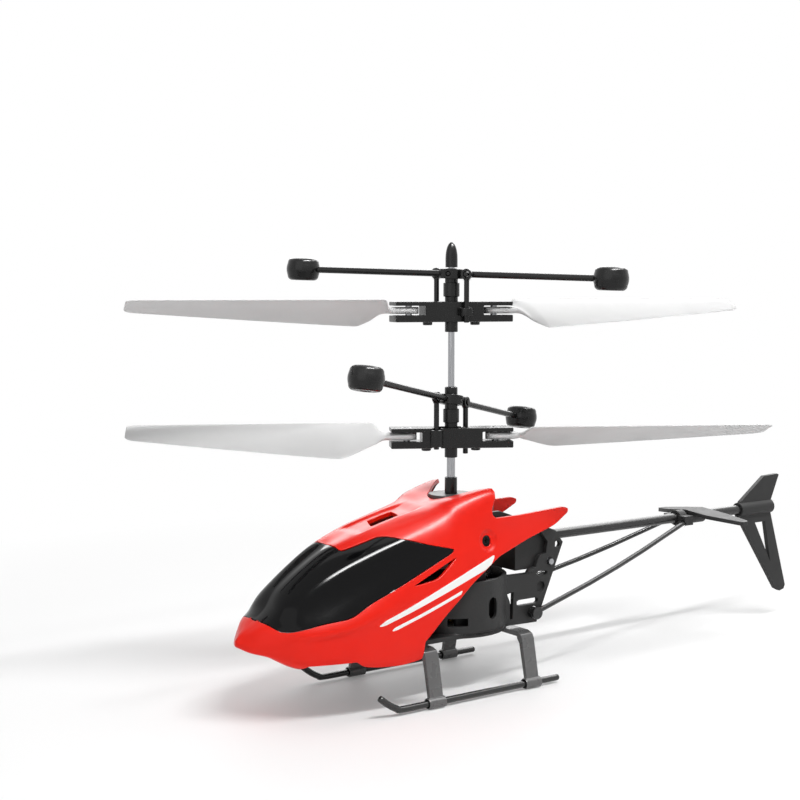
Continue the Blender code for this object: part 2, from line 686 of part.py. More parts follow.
def side_plate_holes():
    """Holes and slots up the slanted rear edge, the hole for the socket pin and the openings."""
    top, big = PLATE_TOP_HOLE_RADIUS, PLATE_BIG_HOLE_RADIUS
    holes = [
        circle(rear_edge(PLATE_TOP_HOLE_Z, PLATE_HOLE_INSET), PLATE_TOP_HOLE_Z, top, 10),
        circle(rear_edge(PLATE_BIG_HOLE_Z, PLATE_HOLE_INSET + big / 2), PLATE_BIG_HOLE_Z, big, 12),
        circle(SOCKET_PIN_Y, SOCKET_PIN_Z, SOCKET_PIN_RADIUS + RUN_GAP, 12),
    ]
    slots = (
        (PLATE_SHORT_SLOT_Z, PLATE_SHORT_SLOT_LENGTH, PLATE_SHORT_SLOT_WIDTH),
        (PLATE_LONG_SLOT_Z, PLATE_LONG_SLOT_LENGTH, PLATE_LONG_SLOT_WIDTH),
    )
    for z, length, width in slots:
        slot = stadium(z, rear_edge(z, PLATE_HOLE_INSET + length / 2), width, length, 3)
        holes.append([(y, height) for height, y in slot])
    holes.append(in_metres(PLATE_OPENING))
    holes.append(in_metres(PLATE_GAP))
    return holes


def build_frame_half(name, side):
    """One frame half: tray and floor, half of the gear barrel, and the holed side plate with its bosses."""
    lean = math.asin(SPLIT_GAP / 2 / BARREL_RADIUS)

    def sided(outline):
        return [(side * x, y) for x, y in outline]

    def span(near, far):
        return sorted((side * near, side * far))

    rear_round = arc(0, 0, BARREL_RADIUS, math.pi / 2 - lean, -math.pi / 7, 10)
    floor = [(SPLIT_GAP / 2, TRAY_FRONT_Y), *rear_round]
    floor += [(TRAY_HALF_WIDTH, rear_round[-1][1] - BOW_WIDTH), (TRAY_HALF_WIDTH, TRAY_FRONT_Y)]
    half = add(name, plate(sided(floor), BARREL_BOTTOM_Z, FLOOR_TOP_Z, "Z"), BLACK, ROOT)

    inside = BARREL_RADIUS - BARREL_WALL
    outer_end, inner_end = math.pi / 2 - lean, math.acos(SPLIT_GAP / 2 / inside)
    wall = arc(0, 0, BARREL_RADIUS, -outer_end, outer_end, 16)
    wall += arc(0, 0, inside, inner_end, -inner_end, 16)
    join(half, plate(sided(wall), FLOOR_TOP_Z - EMBED, BARREL_TOP_Z, "Z"))
    slot = stadium(BARREL_SLOT_Y, BARREL_SLOT_Z, BARREL_SLOT_WIDTH, BARREL_SLOT_HEIGHT)
    cut(half, plate(slot, *span(BARREL_RADIUS - 2 * BARREL_WALL, BARREL_RADIUS + EMBED), "X"))
    port = (BARREL_PORT_WIDTH / 2, BARREL_PORT_HEIGHT / 2)
    near, far = span(BARREL_RADIUS - 3 * BARREL_WALL, BARREL_RADIUS + EMBED)
    port_low, port_high = BARREL_PORT_Z - port[1], BARREL_PORT_Z + port[1]
    port_mesh = block((near, -port[0], port_low), (far, port[0], port_high))
    port_mesh.transform(Matrix.Rotation(-side * BARREL_PORT_ANGLE, 4, "Z"))
    cut(half, port_mesh)
    join(half, plate(side_plate_outline(), *span(PLATE_X, PLATE_OUTER_X), "X", side_plate_holes()))
    pad = (rear_edge(PLATE_BIG_HOLE_Z, PLATE_HOLE_INSET + PLATE_BIG_HOLE_RADIUS / 2), PLATE_BIG_HOLE_Z)
    pad_ends = ((side * (PLATE_X - PLATE_PAD_HEIGHT), *pad), (side * (PLATE_X + EMBED), *pad))
    join(half, rod(*pad_ends, PLATE_PAD_RADIUS, 12))

    boss_end = PLATE_OUTER_X + CANOPY_BOSS_LENGTH
    place = (CANOPY_SCREW_Y, CANOPY_SCREW_Z)
    boss = ((side * (PLATE_OUTER_X - EMBED), *place), (side * boss_end, *place))
    join(half, rod(*boss, CANOPY_BOSS_RADIUS, 12))
    screw_hole = ((side * (PLATE_OUTER_X - PLATE_THICKNESS / 2), *place), (side * (boss_end + EMBED), *place))
    cut(half, rod(*screw_hole, SCREW_RADIUS + PIVOT_GAP, 10))
    for end in (-1, 1):
        x = side * (BOARD_SIZE[0] / 2 - BOARD_PEG_RADIUS)
        y = BOARD_Y + end * (BOARD_SIZE[1] / 2 - BOARD_PEG_RADIUS)
        join(half, rod((x, y, FLOOR_TOP_Z - EMBED), (x, y, BOARD_Z - SEAT_GAP), BOARD_PEG_RADIUS, 8))

    low, high = BARREL_BOTTOM_Z - EMBED, FLOOR_TOP_Z + EMBED
    cut(half, rod((0, 0, low), (0, 0, high), BUSH_RADIUS + PIVOT_GAP, 16))
    cut(half, rod((0, SENSOR_Y, low), (0, SENSOR_Y, high), SENSOR_RADIUS + PIVOT_GAP, 12))
    if side > 0:
        slot_low = (SWITCH_X - SLOT_WIDTH / 2, SLOT_Y, low)
        slot_high = (SWITCH_X + SLOT_WIDTH / 2, SLOT_Y + SLOT_LENGTH, high)
        cut(half, block(slot_low, slot_high))
    else:
        cut(half, rod((SOCKET_X, SOCKET_Y, low), (SOCKET_X, SOCKET_Y, high), SOCKET_HOLE_RADIUS, 12))


def build_bearings():
    deck_z = PLATE_TOP_Z + SEAT_GAP
    half = (PLATE_OUTER_X, DECK_LENGTH / 2)
    deck_mesh = block((-half[0], -half[1], deck_z), (half[0], half[1], deck_z + DECK_THICKNESS))
    deck = add("deck_plate", deck_mesh, DARK_GREY, ROOT)
    join(deck, rod((0, 0, deck_z + DECK_THICKNESS - EMBED), (0, 0, DECK_DISC_TOP_Z), DECK_DISC_RADIUS, 24))
    bore = COLLAR_RADIUS + RUN_GAP
    cut(deck, rod((0, 0, deck_z - EMBED), (0, 0, DECK_DISC_TOP_Z + EMBED), bore, 16))

    inner = OUTER_SHAFT_RADIUS + RUN_GAP
    top_of_flange = deck_z - SEAT_GAP
    low = top_of_flange - COLLAR_FLANGE_HEIGHT
    collar = (
        (COLLAR_RADIUS, COLLAR_TOP_Z), (COLLAR_RADIUS, top_of_flange), (COLLAR_FLANGE_RADIUS, top_of_flange),
        (COLLAR_FLANGE_RADIUS, low), (inner, low), (inner, COLLAR_TOP_Z),
    )
    turned("mast_collar", collar, GLOSS_BLACK, ROOT, closed=True)

    bush_low, bush_high = BARREL_BOTTOM_Z, BARREL_BOTTOM_Z + BUSH_HEIGHT
    ring("shaft_bush", INNER_SHAFT_RADIUS + RUN_GAP, BUSH_RADIUS, bush_low, bush_high, BRASS, ROOT)


def gear_outline(teeth, thin):
    """Straight-flanked teeth on the pitch circle, thinned so that a meshing pair keeps some backlash."""
    pitch = GEAR_MODULE * teeth / 2
    root, tip = pitch - 1.2 * GEAR_MODULE, pitch + 0.8 * GEAR_MODULE
    step = 2 * math.pi / teeth
    outline = []
    for tooth in range(teeth):
        centre = tooth * step
        for radius, share in ((root, 0.42), (tip, 0.14), (tip, -0.14), (root, -0.42)):
            angle = centre - share * thin * step
            outline.append((radius * math.cos(angle), radius * math.sin(angle)))
    return outline


def build_drive():
    low, high = -GEAR_WIDTH / 2, GEAR_WIDTH / 2
    lower = empty("lower_mast_axis", (0, 0, LOWER_GEAR_Z), (0, 0, 0), ROOT)
    upper = empty("upper_mast_axis", (0, 0, UPPER_GEAR_Z), (0, 0, 0), ROOT)
    half_tooth = math.pi / PINION_TEETH
    bores = (("lower_rotor_gear", lower, OUTER_SHAFT_RADIUS), ("upper_rotor_gear", upper, INNER_SHAFT_RADIUS))
    for name, axis, shaft in bores:
        hole = circle(0, 0, shaft + RUN_GAP, 14)
        gear = add(name, plate(gear_outline(GEAR_TEETH, 0.8), low, high, "Z", [hole]), NYLON, axis)
        hub = plate(circle(0, 0, GEAR_HUB_RADIUS, 16), low - GEAR_HUB_DROP, low + EMBED, "Z", [hole])
        join(gear, hub)
    pinions = (("front", -MOTOR_Y, LOWER_GEAR_Z), ("rear", MOTOR_Y, UPPER_GEAR_Z))
    for name, y, gear_z in pinions:
        facing = math.copysign(math.pi / 2, -y)
        foot = empty(f"{name}_motor_axis", (0, y, 0), (0, 0, facing + half_tooth), ROOT)
        pinion_low = gear_z + low - PINION_OVERHANG
        pinion_high = gear_z + high + PINION_OVERHANG
        hole = circle(0, 0, MOTOR_SHAFT_RADIUS + RUN_GAP / 2, 12)
        outline = gear_outline(PINION_TEETH, 0.8)
        add(f"{name}_pinion", plate(outline, pinion_low, pinion_high, "Z", [hole]), BRASS, foot)
        top = MOTOR_FOOT_Z + MOTOR_LENGTH
        profile = (
            (0.0, pinion_high), (MOTOR_SHAFT_RADIUS, pinion_high), (MOTOR_SHAFT_RADIUS, top),
            (MOTOR_RADIUS - EMBED, top), (MOTOR_RADIUS, top - EMBED), (MOTOR_RADIUS, MOTOR_FOOT_Z + EMBED),
            (MOTOR_RADIUS - EMBED, MOTOR_FOOT_Z), (0.0, MOTOR_FOOT_Z),
        )
        turned(f"{name}_motor", profile, STEEL, ROOT, (0, y, 0))

    inner_top = UPPER_ROTOR_Z + FLYBAR_RISE + UPPER_HUB_ABOVE_BAR + CAP_HEIGHT / 2
    inner_shaft = rod((0, 0, SHAFT_FOOT_Z), (0, 0, inner_top), INNER_SHAFT_RADIUS, 18)
    add("inner_shaft", inner_shaft, STEEL, ROOT)
    tube_low = LOWER_GEAR_Z + low - GEAR_HUB_DROP
    tube_high = LOWER_ROTOR_Z + FLYBAR_RISE + LOWER_HUB_ABOVE_BAR
    tube_inner = OUTER_SHAFT_RADIUS - OUTER_SHAFT_WALL
    ring("outer_shaft", tube_inner, OUTER_SHAFT_RADIUS, tube_low, tube_high, STEEL, ROOT)


def build_electrics():
    def box_at(size, x, y, z):
        return block((x - size[0] / 2, y - size[1] / 2, z), (x + size[0] / 2, y + size[1] / 2, z + size[2]))

    battery = add("battery", box_at(BATTERY_SIZE, 0, BATTERY_Y, BATTERY_FOOT_Z), CELL, ROOT)
    rounding = battery.modifiers.new("round", "BEVEL")
    rounding.width = BATTERY_ROUND
    rounding.segments = 2

    board = add("circuit_board", box_at(BOARD_SIZE, 0, BOARD_Y, BOARD_Z), LAMINATE, ROOT)
    chip_z = BOARD_Z + BOARD_SIZE[2] - EMBED / 2
    join(board, box_at(CHIP_SIZE, 0, BOARD_Y - BOARD_SIZE[1] / 5, chip_z))
    small_chip = (CHIP_SIZE[0] / 2, CHIP_SIZE[1], CHIP_SIZE[2])
    join(board, box_at(small_chip, BOARD_SIZE[0] / 4, BOARD_Y + BOARD_SIZE[1] / 5, chip_z))

    top = FLOOR_TOP_Z + SENSOR_HEIGHT - SENSOR_DROP
    low = BARREL_BOTTOM_Z - SENSOR_DROP
    flange = FLOOR_TOP_Z + SEAT_GAP
    dome = [(SENSOR_RADIUS * math.cos(a), low + SENSOR_RADIUS * (1 - math.sin(a))) for a in (0.0, 0.5, 1.0)]
    rim = SENSOR_RADIUS + EMBED
    profile = [(0.0, top), (rim, top), (rim, flange), (SENSOR_RADIUS, flange)]
    turned("infrared_sensor", profile + dome + [(0.0, low)], SMOKE, ROOT, (0, SENSOR_Y, 0), sides=14)

    foot = FLOOR_TOP_Z + SEAT_GAP
    socket = add("charge_socket", box_at(SOCKET_SIZE, SOCKET_X, SOCKET_Y, foot), BLACK, ROOT)
    hole_low, hole_high = (SOCKET_X, SOCKET_Y, foot - EMBED), (SOCKET_X, SOCKET_Y, foot + SOCKET_HOLE_DEPTH)
    cut(socket, rod(hole_low, hole_high, SOCKET_HOLE_RADIUS, 12))
    switch = add("switch_body", box_at(SWITCH_SIZE, SWITCH_X, SWITCH_Y, foot), BLACK, ROOT)
    slot_high = foot + SLIDER_RISE + SEAT_GAP
    slot_low = (SWITCH_X - SLOT_WIDTH / 2, SLOT_Y, foot - EMBED)
    cut(switch, block(slot_low, (SWITCH_X + SLOT_WIDTH / 2, SLOT_Y + SLOT_LENGTH, slot_high)))
    half = (SLIDER_SIZE[0] / 2, SLIDER_SIZE[1] / 2)
    knob_low = (-half[0], -half[1], BARREL_BOTTOM_Z - SLIDER_DROP)
    knob = block(knob_low, (half[0], half[1], foot + SLIDER_RISE))
    add("switch_slider", knob, DARK_GREY, ROOT, (SWITCH_X, SWITCH_Y, 0))


SLEEVE_Z = SLEEVE_RADIUS - SLEEVE_FLAT


def build_landing_gear():
    top = BARREL_BOTTOM_Z - SEAT_GAP
    low = top - BOW_THICKNESS
    foot_z = SLEEVE_Z + SLEEVE_RADIUS / 2
    bend = BOW_BEND
    right = [
        (SKID_X + BOW_THICKNESS / 2, foot_z), (BOW_SHOULDER_X + BOW_THICKNESS / 2, top - bend),
        (BOW_SHOULDER_X, top - bend / 3), (BOW_SHOULDER_X - bend, top),
    ]
    under = [
        (BOW_SHOULDER_X - bend, low), (BOW_SHOULDER_X - bend / 2 - BOW_THICKNESS / 2, low - bend / 3),
        (BOW_SHOULDER_X - BOW_THICKNESS / 2, low - bend), (SKID_X - BOW_THICKNESS / 2, foot_z),
    ]
    outline = right + [(-x, z) for x, z in reversed(right)]
    outline += [(-x, z) for x, z in reversed(under)] + under
    for name, y in (("front_bow", FRONT_BOW_Y), ("rear_bow", REAR_BOW_Y)):
        bow = add(name, plate(outline, y - BOW_WIDTH / 2, y + BOW_WIDTH / 2, "Y"), DARK_GREY, ROOT)
        for side in (-1, 1):
            x, half = side * SKID_X, SLEEVE_LENGTH / 2
            ends = ((x, y - half, SLEEVE_Z), (x, y + half, SLEEVE_Z))
            join(bow, rod(*ends, SLEEVE_RADIUS, 16))
            past = Vector((0, SLEEVE_LENGTH, 0))
            cut(bow, rod(Vector(ends[0]) - past, Vector(ends[1]) + past, SKID_RADIUS + PIVOT_GAP, 12))
        reach = SKID_X + 2 * SLEEVE_RADIUS
        cut(bow, block((-reach, y - SLEEVE_LENGTH, -SLEEVE_RADIUS), (reach, y + SLEEVE_LENGTH, 0.0)))
    for name, side in (("left_skid", 1), ("right_skid", -1)):
        x = side * SKID_X
        points = [(x, SKID_REAR_Y, SLEEVE_Z), (x, REAR_BOW_Y, SLEEVE_Z), (x, FRONT_BOW_Y, SLEEVE_Z)]
        for i in range(5):
            share = i / 4
            points.append((x, SKID_FRONT_Y - SKID_TIP_REACH * share, SLEEVE_Z + SKID_TIP_RISE * share ** 1.5))
        add(name, tube(points, SKID_RADIUS), DARK_GREY, ROOT)


def rod_path(side):
    """The support rod's run from the eye on the frame plate up to the clip under the boom."""
    start = Vector((side * (PLATE_OUTER_X + SEAT_GAP + ROD_EYE_WIDTH / 2), ROD_FOOT_Y, ROD_FOOT_Z))
    end = Vector((side * ROD_TOP_X, CLIP_Y + CLIP_LENGTH / 4, BOOM_Z - CLIP_LUG_DROP))
    points = []
    for i in range(7):
        share = i / 6
        point = start.lerp(end, share)
        point.z -= ROD_SAG * math.sin(math.pi * share)
        points.append(tuple(point))
    return points


def drooped_plate(outline, right_count, half):
    """The stabilizer's plate: two flat wings that meet over the boom and droop towards their tips."""
    verts = []
    for rise in (half, -half):
        for x, y in outline:
            droop = STABILIZER_DROOP * abs(x) / STABILIZER_SPAN
            verts.append((x, y + STABILIZER_Y, BOOM_Z + STABILIZER_RISE - droop + rise))
    count = len(outline)
    right = list(range(right_count))
    left = list(range(right_count - 1, count)) + [0]
    faces = []
    for wing in (right, left):
        faces.append(tuple(wing))
        faces.append(tuple(count + i for i in reversed(wing)))
    for i in range(count):
        j = (i + 1) % count
        faces.append((j, i, count + i, count + j))
    mesh = bpy.data.meshes.new("drooped_plate")
    mesh.from_pydata(verts, [], faces)
    mesh.update()
    return mesh


def build_tail():
    boom = [(0, BOOM_FRONT_Y, BOOM_Z), (0, BOOM_REAR_Y, BOOM_Z)]
    add("tail_boom", rod(boom[0], boom[1], BOOM_RADIUS, 16), DARK_GREY, ROOT)

    bore = BOOM_RADIUS + PIVOT_GAP
    half = PLATE_X - SEAT_GAP
    low = (-half, BOOM_SOCKET_REAR_Y - BOOM_SOCKET_LENGTH, SOCKET_PIN_Z - 2 * SOCKET_PIN_RADIUS)
    high = (half, BOOM_SOCKET_REAR_Y, SOCKET_BLOCK_Z + BOOM_SOCKET_HEIGHT)
    socket = add("boom_socket", block(low, high), BLACK, ROOT)
    cut(socket, rod((0, BOOM_FRONT_Y - SEAT_GAP, BOOM_Z), boom[1], bore, 16))
    reach = PLATE_OUTER_X + SOCKET_PIN_RADIUS
    pin = ((-reach, SOCKET_PIN_Y, SOCKET_PIN_Z), (reach, SOCKET_PIN_Y, SOCKET_PIN_Z))
    past = Vector((SOCKET_PIN_RADIUS, 0, 0))
    cut(socket, rod(Vector(pin[0]) - past, Vector(pin[1]) + past, SOCKET_PIN_RADIUS + RUN_GAP, 12))
    add("socket_pin", rod(*pin, SOCKET_PIN_RADIUS, 12), STEEL, ROOT)

    waist_y = BOOM_REAR_Y + BOOM_RADIUS / 2
    foot_y, toe = FIN_REAR_Y - FIN_FOOT_LENGTH, FIN_TOE
    outline = [
        (FIN_FRONT_Y, BOOM_Z - FIN_NOSE_DROP), (FIN_FRONT_Y + FIN_NOSE_BACK, BOOM_Z - 2.2 * FIN_NOSE_DROP),
        (foot_y, FIN_LOW_Z + toe), (FIN_REAR_Y - 4 * toe, FIN_LOW_Z - 0.7 * toe),
        (FIN_REAR_Y - toe, FIN_LOW_Z), (FIN_REAR_Y, FIN_LOW_Z + 2 * toe),
        (waist_y, BOOM_Z - BOOM_RADIUS), (waist_y, BOOM_Z + BOOM_RADIUS),
        (waist_y + FIN_TOP_BACK, FIN_TOP_Z - toe / 2), (waist_y + FIN_TOP_BACK - 1.3 * toe, FIN_TOP_Z),
        (waist_y - FIN_TOP_FRONT, FIN_TOP_Z - toe / 2), (FIN_FRONT_Y + 2 * toe, BOOM_Z + 1.1 * FIN_NOSE_DROP),
    ]
    window_y, window_z = waist_y - FIN_WINDOW_BACK, BOOM_Z - FIN_WINDOW_DROP
    window = [
        (window_y - FIN_WINDOW_LENGTH, window_z), (window_y, window_z),
        (window_y + FIN_WINDOW_LENGTH * 0.6, window_z - FIN_WINDOW_HEIGHT),
    ]
    fin_mesh = plate(outline, -FIN_THICKNESS / 2, FIN_THICKNESS / 2, "X", [window])
    fin = add("tail_fin", fin_mesh, DARK_GREY, ROOT)
    sleeve = bore + FIN_SLEEVE_WALL
    sleeve_front = FIN_FRONT_Y + FIN_SLEEVE_WALL
    join(fin, rod((0, sleeve_front, BOOM_Z), (0, waist_y + SEAT_GAP, BOOM_Z), sleeve, 16))
    cut(fin, rod((0, FIN_FRONT_Y - BOOM_RADIUS, BOOM_Z), (0, BOOM_REAR_Y + SEAT_GAP, BOOM_Z), bore, 16))

    half = STABILIZER_THICKNESS / 2
    span, chord, tip = STABILIZER_SPAN, STABILIZER_CHORD / 2, STABILIZER_TIP_CHORD / 2
    sweep, corner = STABILIZER_SWEEP, STABILIZER_TIP_CHORD / 4
    right = [
        (0.0, -chord), (span * 0.45, sweep * 0.3 - chord * 0.95), (span - corner, sweep - tip),
        (span, sweep - tip + corner), (span, sweep + tip - corner), (span - corner, sweep + tip),
        (span * 0.45, sweep * 0.45 + chord * 0.92), (0.0, chord),
    ]
    wing = right + [(-x, y) for x, y in reversed(right[1:-1])]
    stabilizer = add("stabilizer", drooped_plate(wing, len(right), half), DARK_GREY, ROOT)
    sleeve_low, sleeve_high = STABILIZER_Y - STABILIZER_SLEEVE / 2, STABILIZER_Y + STABILIZER_SLEEVE / 2
    join(stabilizer, rod((0, sleeve_low, BOOM_Z), (0, sleeve_high, BOOM_Z), bore + FIN_SLEEVE_WALL, 16))
    past = STABILIZER_CHORD
    cut(stabilizer, rod((0, sleeve_low - past, BOOM_Z), (0, sleeve_high + past, BOOM_Z), bore, 16))

    clip_low, clip_high = CLIP_Y - CLIP_LENGTH / 2, CLIP_Y + CLIP_LENGTH / 2
    clip_ring = circle(0, BOOM_Z, bore + CLIP_WALL, 16)
    clip = add("boom_clip", plate(clip_ring, clip_low, clip_high, "Y"), DARK_GREY, ROOT)
    lug_z = BOOM_Z - CLIP_LUG_DROP
    lug = (CLIP_LUG_REACH, CLIP_LUG_HEIGHT / 2)
    lug_low = (-lug[0], clip_low - EMBED, lug_z - lug[1])
    join(clip, block(lug_low, (lug[0], clip_high + EMBED, lug_z + lug[1])))
    cut(clip, rod((0, clip_low - past, BOOM_Z), (0, clip_high + past, BOOM_Z), bore, 16))
    for name, side in (("left_support_rod", 1), ("right_support_rod", -1)):
        path = rod_path(side)
        direction = (Vector(path[-1]) - Vector(path[-2])).normalized()
        cut(clip, rod(Vector(path[-2]), Vector(path[-1]) + direction * SEAT_GAP, ROD_RADIUS + PIVOT_GAP, 12))
        support = add(name, tube(path, ROD_RADIUS), DARK_GREY, ROOT)
        near = side * (PLATE_OUTER_X + SEAT_GAP)
        eye = ((near, ROD_FOOT_Y, ROD_FOOT_Z), (near + side * ROD_EYE_WIDTH, ROD_FOOT_Y, ROD_FOOT_Z))
        join(support, rod(*eye, ROD_EYE_RADIUS, 16))

    head_foot = PLATE_OUTER_X + CANOPY_BOSS_LENGTH + SEAT_GAP
    shank_end = PLATE_OUTER_X
    for name, side in (("canopy_screw_left", 1), ("canopy_screw_right", -1)):
        profile = (
            (0.0, head_foot + SCREW_HEAD_HEIGHT), (SCREW_HEAD_RADIUS * 0.75, head_foot + SCREW_HEAD_HEIGHT),
            (SCREW_HEAD_RADIUS, head_foot), (SCREW_RADIUS, head_foot), (SCREW_RADIUS, shank_end),
            (0.0, shank_end),
        )
        place = (0, CANOPY_SCREW_Y, CANOPY_SCREW_Z)
        turned(name, profile, STEEL, ROOT, place, (0, side * math.pi / 2, 0), sides=12)


def blade_edges(x, full):
    """The blade's edges on its pitch line: how far the leading and trailing edges lie from it."""
    root = BLADE_ROOT_WIDTH / 2
    lead = root + (BLADE_LEAD - root) * smooth_step((x - BLADE_NECK_X) / (BLADE_LEAD_FULL_X - BLADE_NECK_X))
    flare = min(max((x - BLADE_NECK_X) / (full - BLADE_NECK_X), 0.0), 1.0)
    out = max(0.0, (x - full) / (ROTOR_RADIUS - full))
    flare = 0.5 * flare + 0.5 * smooth_step(flare)
    trail = root + (BLADE_TRAIL - root) * flare + (BLADE_TIP_TRAIL - BLADE_TRAIL) * out ** 1.08
    end = max(0.0, 1 - (ROTOR_RADIUS - x) / BLADE_TIP_ROUND)
    shrink = (lead + trail) * 0.24 * (1 - math.sqrt(max(0.0, 1 - end * end)))
    return lead - shrink * 0.5, trail - shrink


def blade_surface(turn, full):
    """The blade as an open sheet: flat at the neck, then turned to its pitch and slightly hollow below."""
    neck, tip = BLADE_NECK_X, ROTOR_RADIUS
    stations = [BOLT_X + BOLT_RADIUS + BLADE_ROOT_THICKNESS]
    stations += [neck + (full - neck) * i / 5 for i in range(6)]
    stations += [full + (tip - full) * share for share in (0.08, 0.3, 0.55, 0.8)]
    stations += [tip - BLADE_TIP_ROUND * share for share in (1.0, 0.4, 0.1, 0.0)]
    bm = bmesh.new()
    rows = []
    for x in stations:
        lead, trail = blade_edges(x, full)
        pitch = BLADE_PITCH * smooth_step((x - neck + EMBED) / (BLADE_LEAD_FULL_X - neck))
        camber = BLADE_CAMBER * smooth_step((x - neck) / (full - neck))
        camber *= (lead + trail) / (BLADE_LEAD + BLADE_TRAIL)
        row = []
        for i in range(5):
            share = i / 4
            across = lead - (lead + trail) * share
            bow = camber * 4 * share * (1 - share)
            y = across * math.cos(pitch) - bow * math.sin(pitch)
            z = across * math.sin(pitch) + bow * math.cos(pitch)
            row.append(bm.verts.new((x, turn * y, z)))
        rows.append(row)
    for near, far in zip(rows, rows[1:]):
        for i in range(len(near) - 1):
            bm.faces.new((near[i], far[i], far[i + 1], near[i + 1]))
    bmesh.ops.recalc_face_normals(bm, faces=bm.faces)
    return mesh_of(bm)


def blade_root():
    """The flat tongue of the blade, round at the bolt."""
    radius = BLADE_ROOT_WIDTH / 2
    outline = arc(BOLT_X, 0, radius, math.pi / 2, 3 * math.pi / 2, 8)
    end = BLADE_NECK_X + BLADE_ROOT_THICKNESS / 2
    outline += [(end, -radius), (end, radius)]
    return plate(outline, -BLADE_ROOT_THICKNESS / 2, BLADE_ROOT_THICKNESS / 2, "Z")


def build_rotor(prefix, z, turn, blade_angle, bar_angle, bar_tilt, outward, shaft_radius, above_bar, flare):
    """One rotor: hub, rocking yoke with two folding blades, and the flybar with weights and push rods."""
    axis = empty(f"{prefix}_rotor_axis", (0, 0, z), (0, 0, blade_angle), ROOT)
    half_height = YOKE_HEIGHT / 2
    bore = shaft_radius + RUN_GAP
    top = FLYBAR_RISE + above_bar
    post_low = half_height + YOKE_WINDOW_Y / 2
    post_high = FLYBAR_RISE - FLYBAR_RING_HEIGHT / 2 - FLYBAR_RING_OUTER / 3
    neck, post = HUB_NECK_RADIUS, HUB_POST_RADIUS
    profile = (
        (neck - EMBED / 2, top), (neck, top - EMBED / 2), (neck, post_high), (post, post_high),
        (post, post_low), (neck, post_low), (neck, -HUB_BELOW), (bore, -HUB_BELOW), (bore, top),
    )
    hub = turned(f"{prefix}_hub", profile, GLOSS_BLACK, axis, closed=True)
    bar_side = Vector((-math.sin(bar_angle), math.cos(bar_angle), 0))
    rise = Vector((0, 0, FLYBAR_RISE))
    for side in (-1, 1):
        join(hub, rod((side * (bore + EMBED), 0, 0), (side * YOKE_PIN_REACH, 0, 0), YOKE_PIN_RADIUS, 12))
        pin_start, pin_end = bore + EMBED / 2, FLYBAR_RING_OUTER - RUN_GAP
        pin = (rise + bar_side * side * pin_start, rise + bar_side * side * pin_end)
        join(hub, rod(*pin, BAR_PIN_RADIUS, 10))

    yoke_mesh = block((-YOKE_REACH, -YOKE_WIDTH / 2, -half_height), (YOKE_REACH, YOKE_WIDTH / 2, half_height))
    yoke = add(f"{prefix}_yoke", yoke_mesh, GLOSS_BLACK, axis)
    along = Vector((math.cos(bar_angle), math.sin(bar_angle), 0))
    ear = along * LINK_ARM + bar_side * outward * LINK_SIDE
    beside = abs(ear.y) > YOKE_WIDTH / 2
    ear_half = EAR_HEIGHT / 2 if beside else half_height - EMBED
    for side in (-1, 1):
        place = ear * side
        join(yoke, rod((place.x, place.y, -ear_half), (place.x, place.y, ear_half), EAR_RADIUS, 16))
        x, boss_low = side * YOKE_BOSS_X, -half_height - YOKE_BOSS_DROP
        join(yoke, rod((x, 0, boss_low), (x, 0, -half_height + EMBED), YOKE_BOSS_RADIUS, 12))
    window = (YOKE_WINDOW_X, YOKE_WINDOW_Y, YOKE_HEIGHT)
    cut(yoke, block([-v for v in window], window))
    slot_half = BLADE_ROOT_THICKNESS / 2 + SEAT_GAP
    slot_low, slot_high = FORK_SLOT_RISE - slot_half, FORK_SLOT_RISE + slot_half
    for side in (-1, 1):
        place = ear * side
        cut(yoke, rod((place.x, place.y, -YOKE_HEIGHT), (place.x, place.y, YOKE_HEIGHT), EAR_HOLE_RADIUS, 14))
        near, far = sorted((side * (YOKE_REACH - FORK_DEPTH), side * (YOKE_REACH + EMBED)))
        cut(yoke, block((near, -YOKE_WIDTH, slot_low), (far, YOKE_WIDTH, slot_high)))
        pin_hole = (side * (YOKE_PIN_REACH + SEAT_GAP), 0, 0)
        cut(yoke, rod((0, 0, 0), pin_hole, YOKE_PIN_RADIUS + PIVOT_GAP, 12))
        bolt = side * BOLT_X
        cut(yoke, rod((bolt, 0, -YOKE_HEIGHT), (bolt, 0, YOKE_HEIGHT), BOLT_RADIUS + RUN_GAP, 14))
        sink = half_height - BOLT_SINK
        cut(yoke, rod((bolt, 0, sink), (bolt, 0, YOKE_HEIGHT), BOLT_HEAD_RADIUS + PIVOT_GAP, 14))

    for letter, side in (("a", 1), ("b", -1)):
        facing = 0.0 if side > 0 else math.pi
        head = half_height - BOLT_SINK + RUN_GAP
        crown = head + BOLT_HEAD_HEIGHT
        profile = (
            (0.0, crown), (BOLT_HEAD_RADIUS, crown), (BOLT_HEAD_RADIUS, head), (BOLT_RADIUS, head),
            (BOLT_RADIUS, -half_height), (0.0, -half_height),
        )
        turned(f"{prefix}_bolt_{letter}", profile, STEEL, axis, (side * BOLT_X, 0, 0), sides=14)
        place, spin = (side * BOLT_X, 0, FORK_SLOT_RISE), (0, 0, facing)
        pivot = empty(f"{prefix}_blade_{letter}_axis", place, spin, axis)
        blade = add(f"{prefix}_blade_{letter}", blade_surface(turn, flare), WHITE, pivot, (-BOLT_X, 0, 0))
        sheet = blade.modifiers.new("thickness", "SOLIDIFY")
        sheet.thickness = BLADE_THICKNESS
        sheet.offset = 0.0
        join(blade, blade_root())
        cut(blade, rod((BOLT_X, 0, -YOKE_HEIGHT), (BOLT_X, 0, YOKE_HEIGHT), BOLT_RADIUS + RUN_GAP, 14))

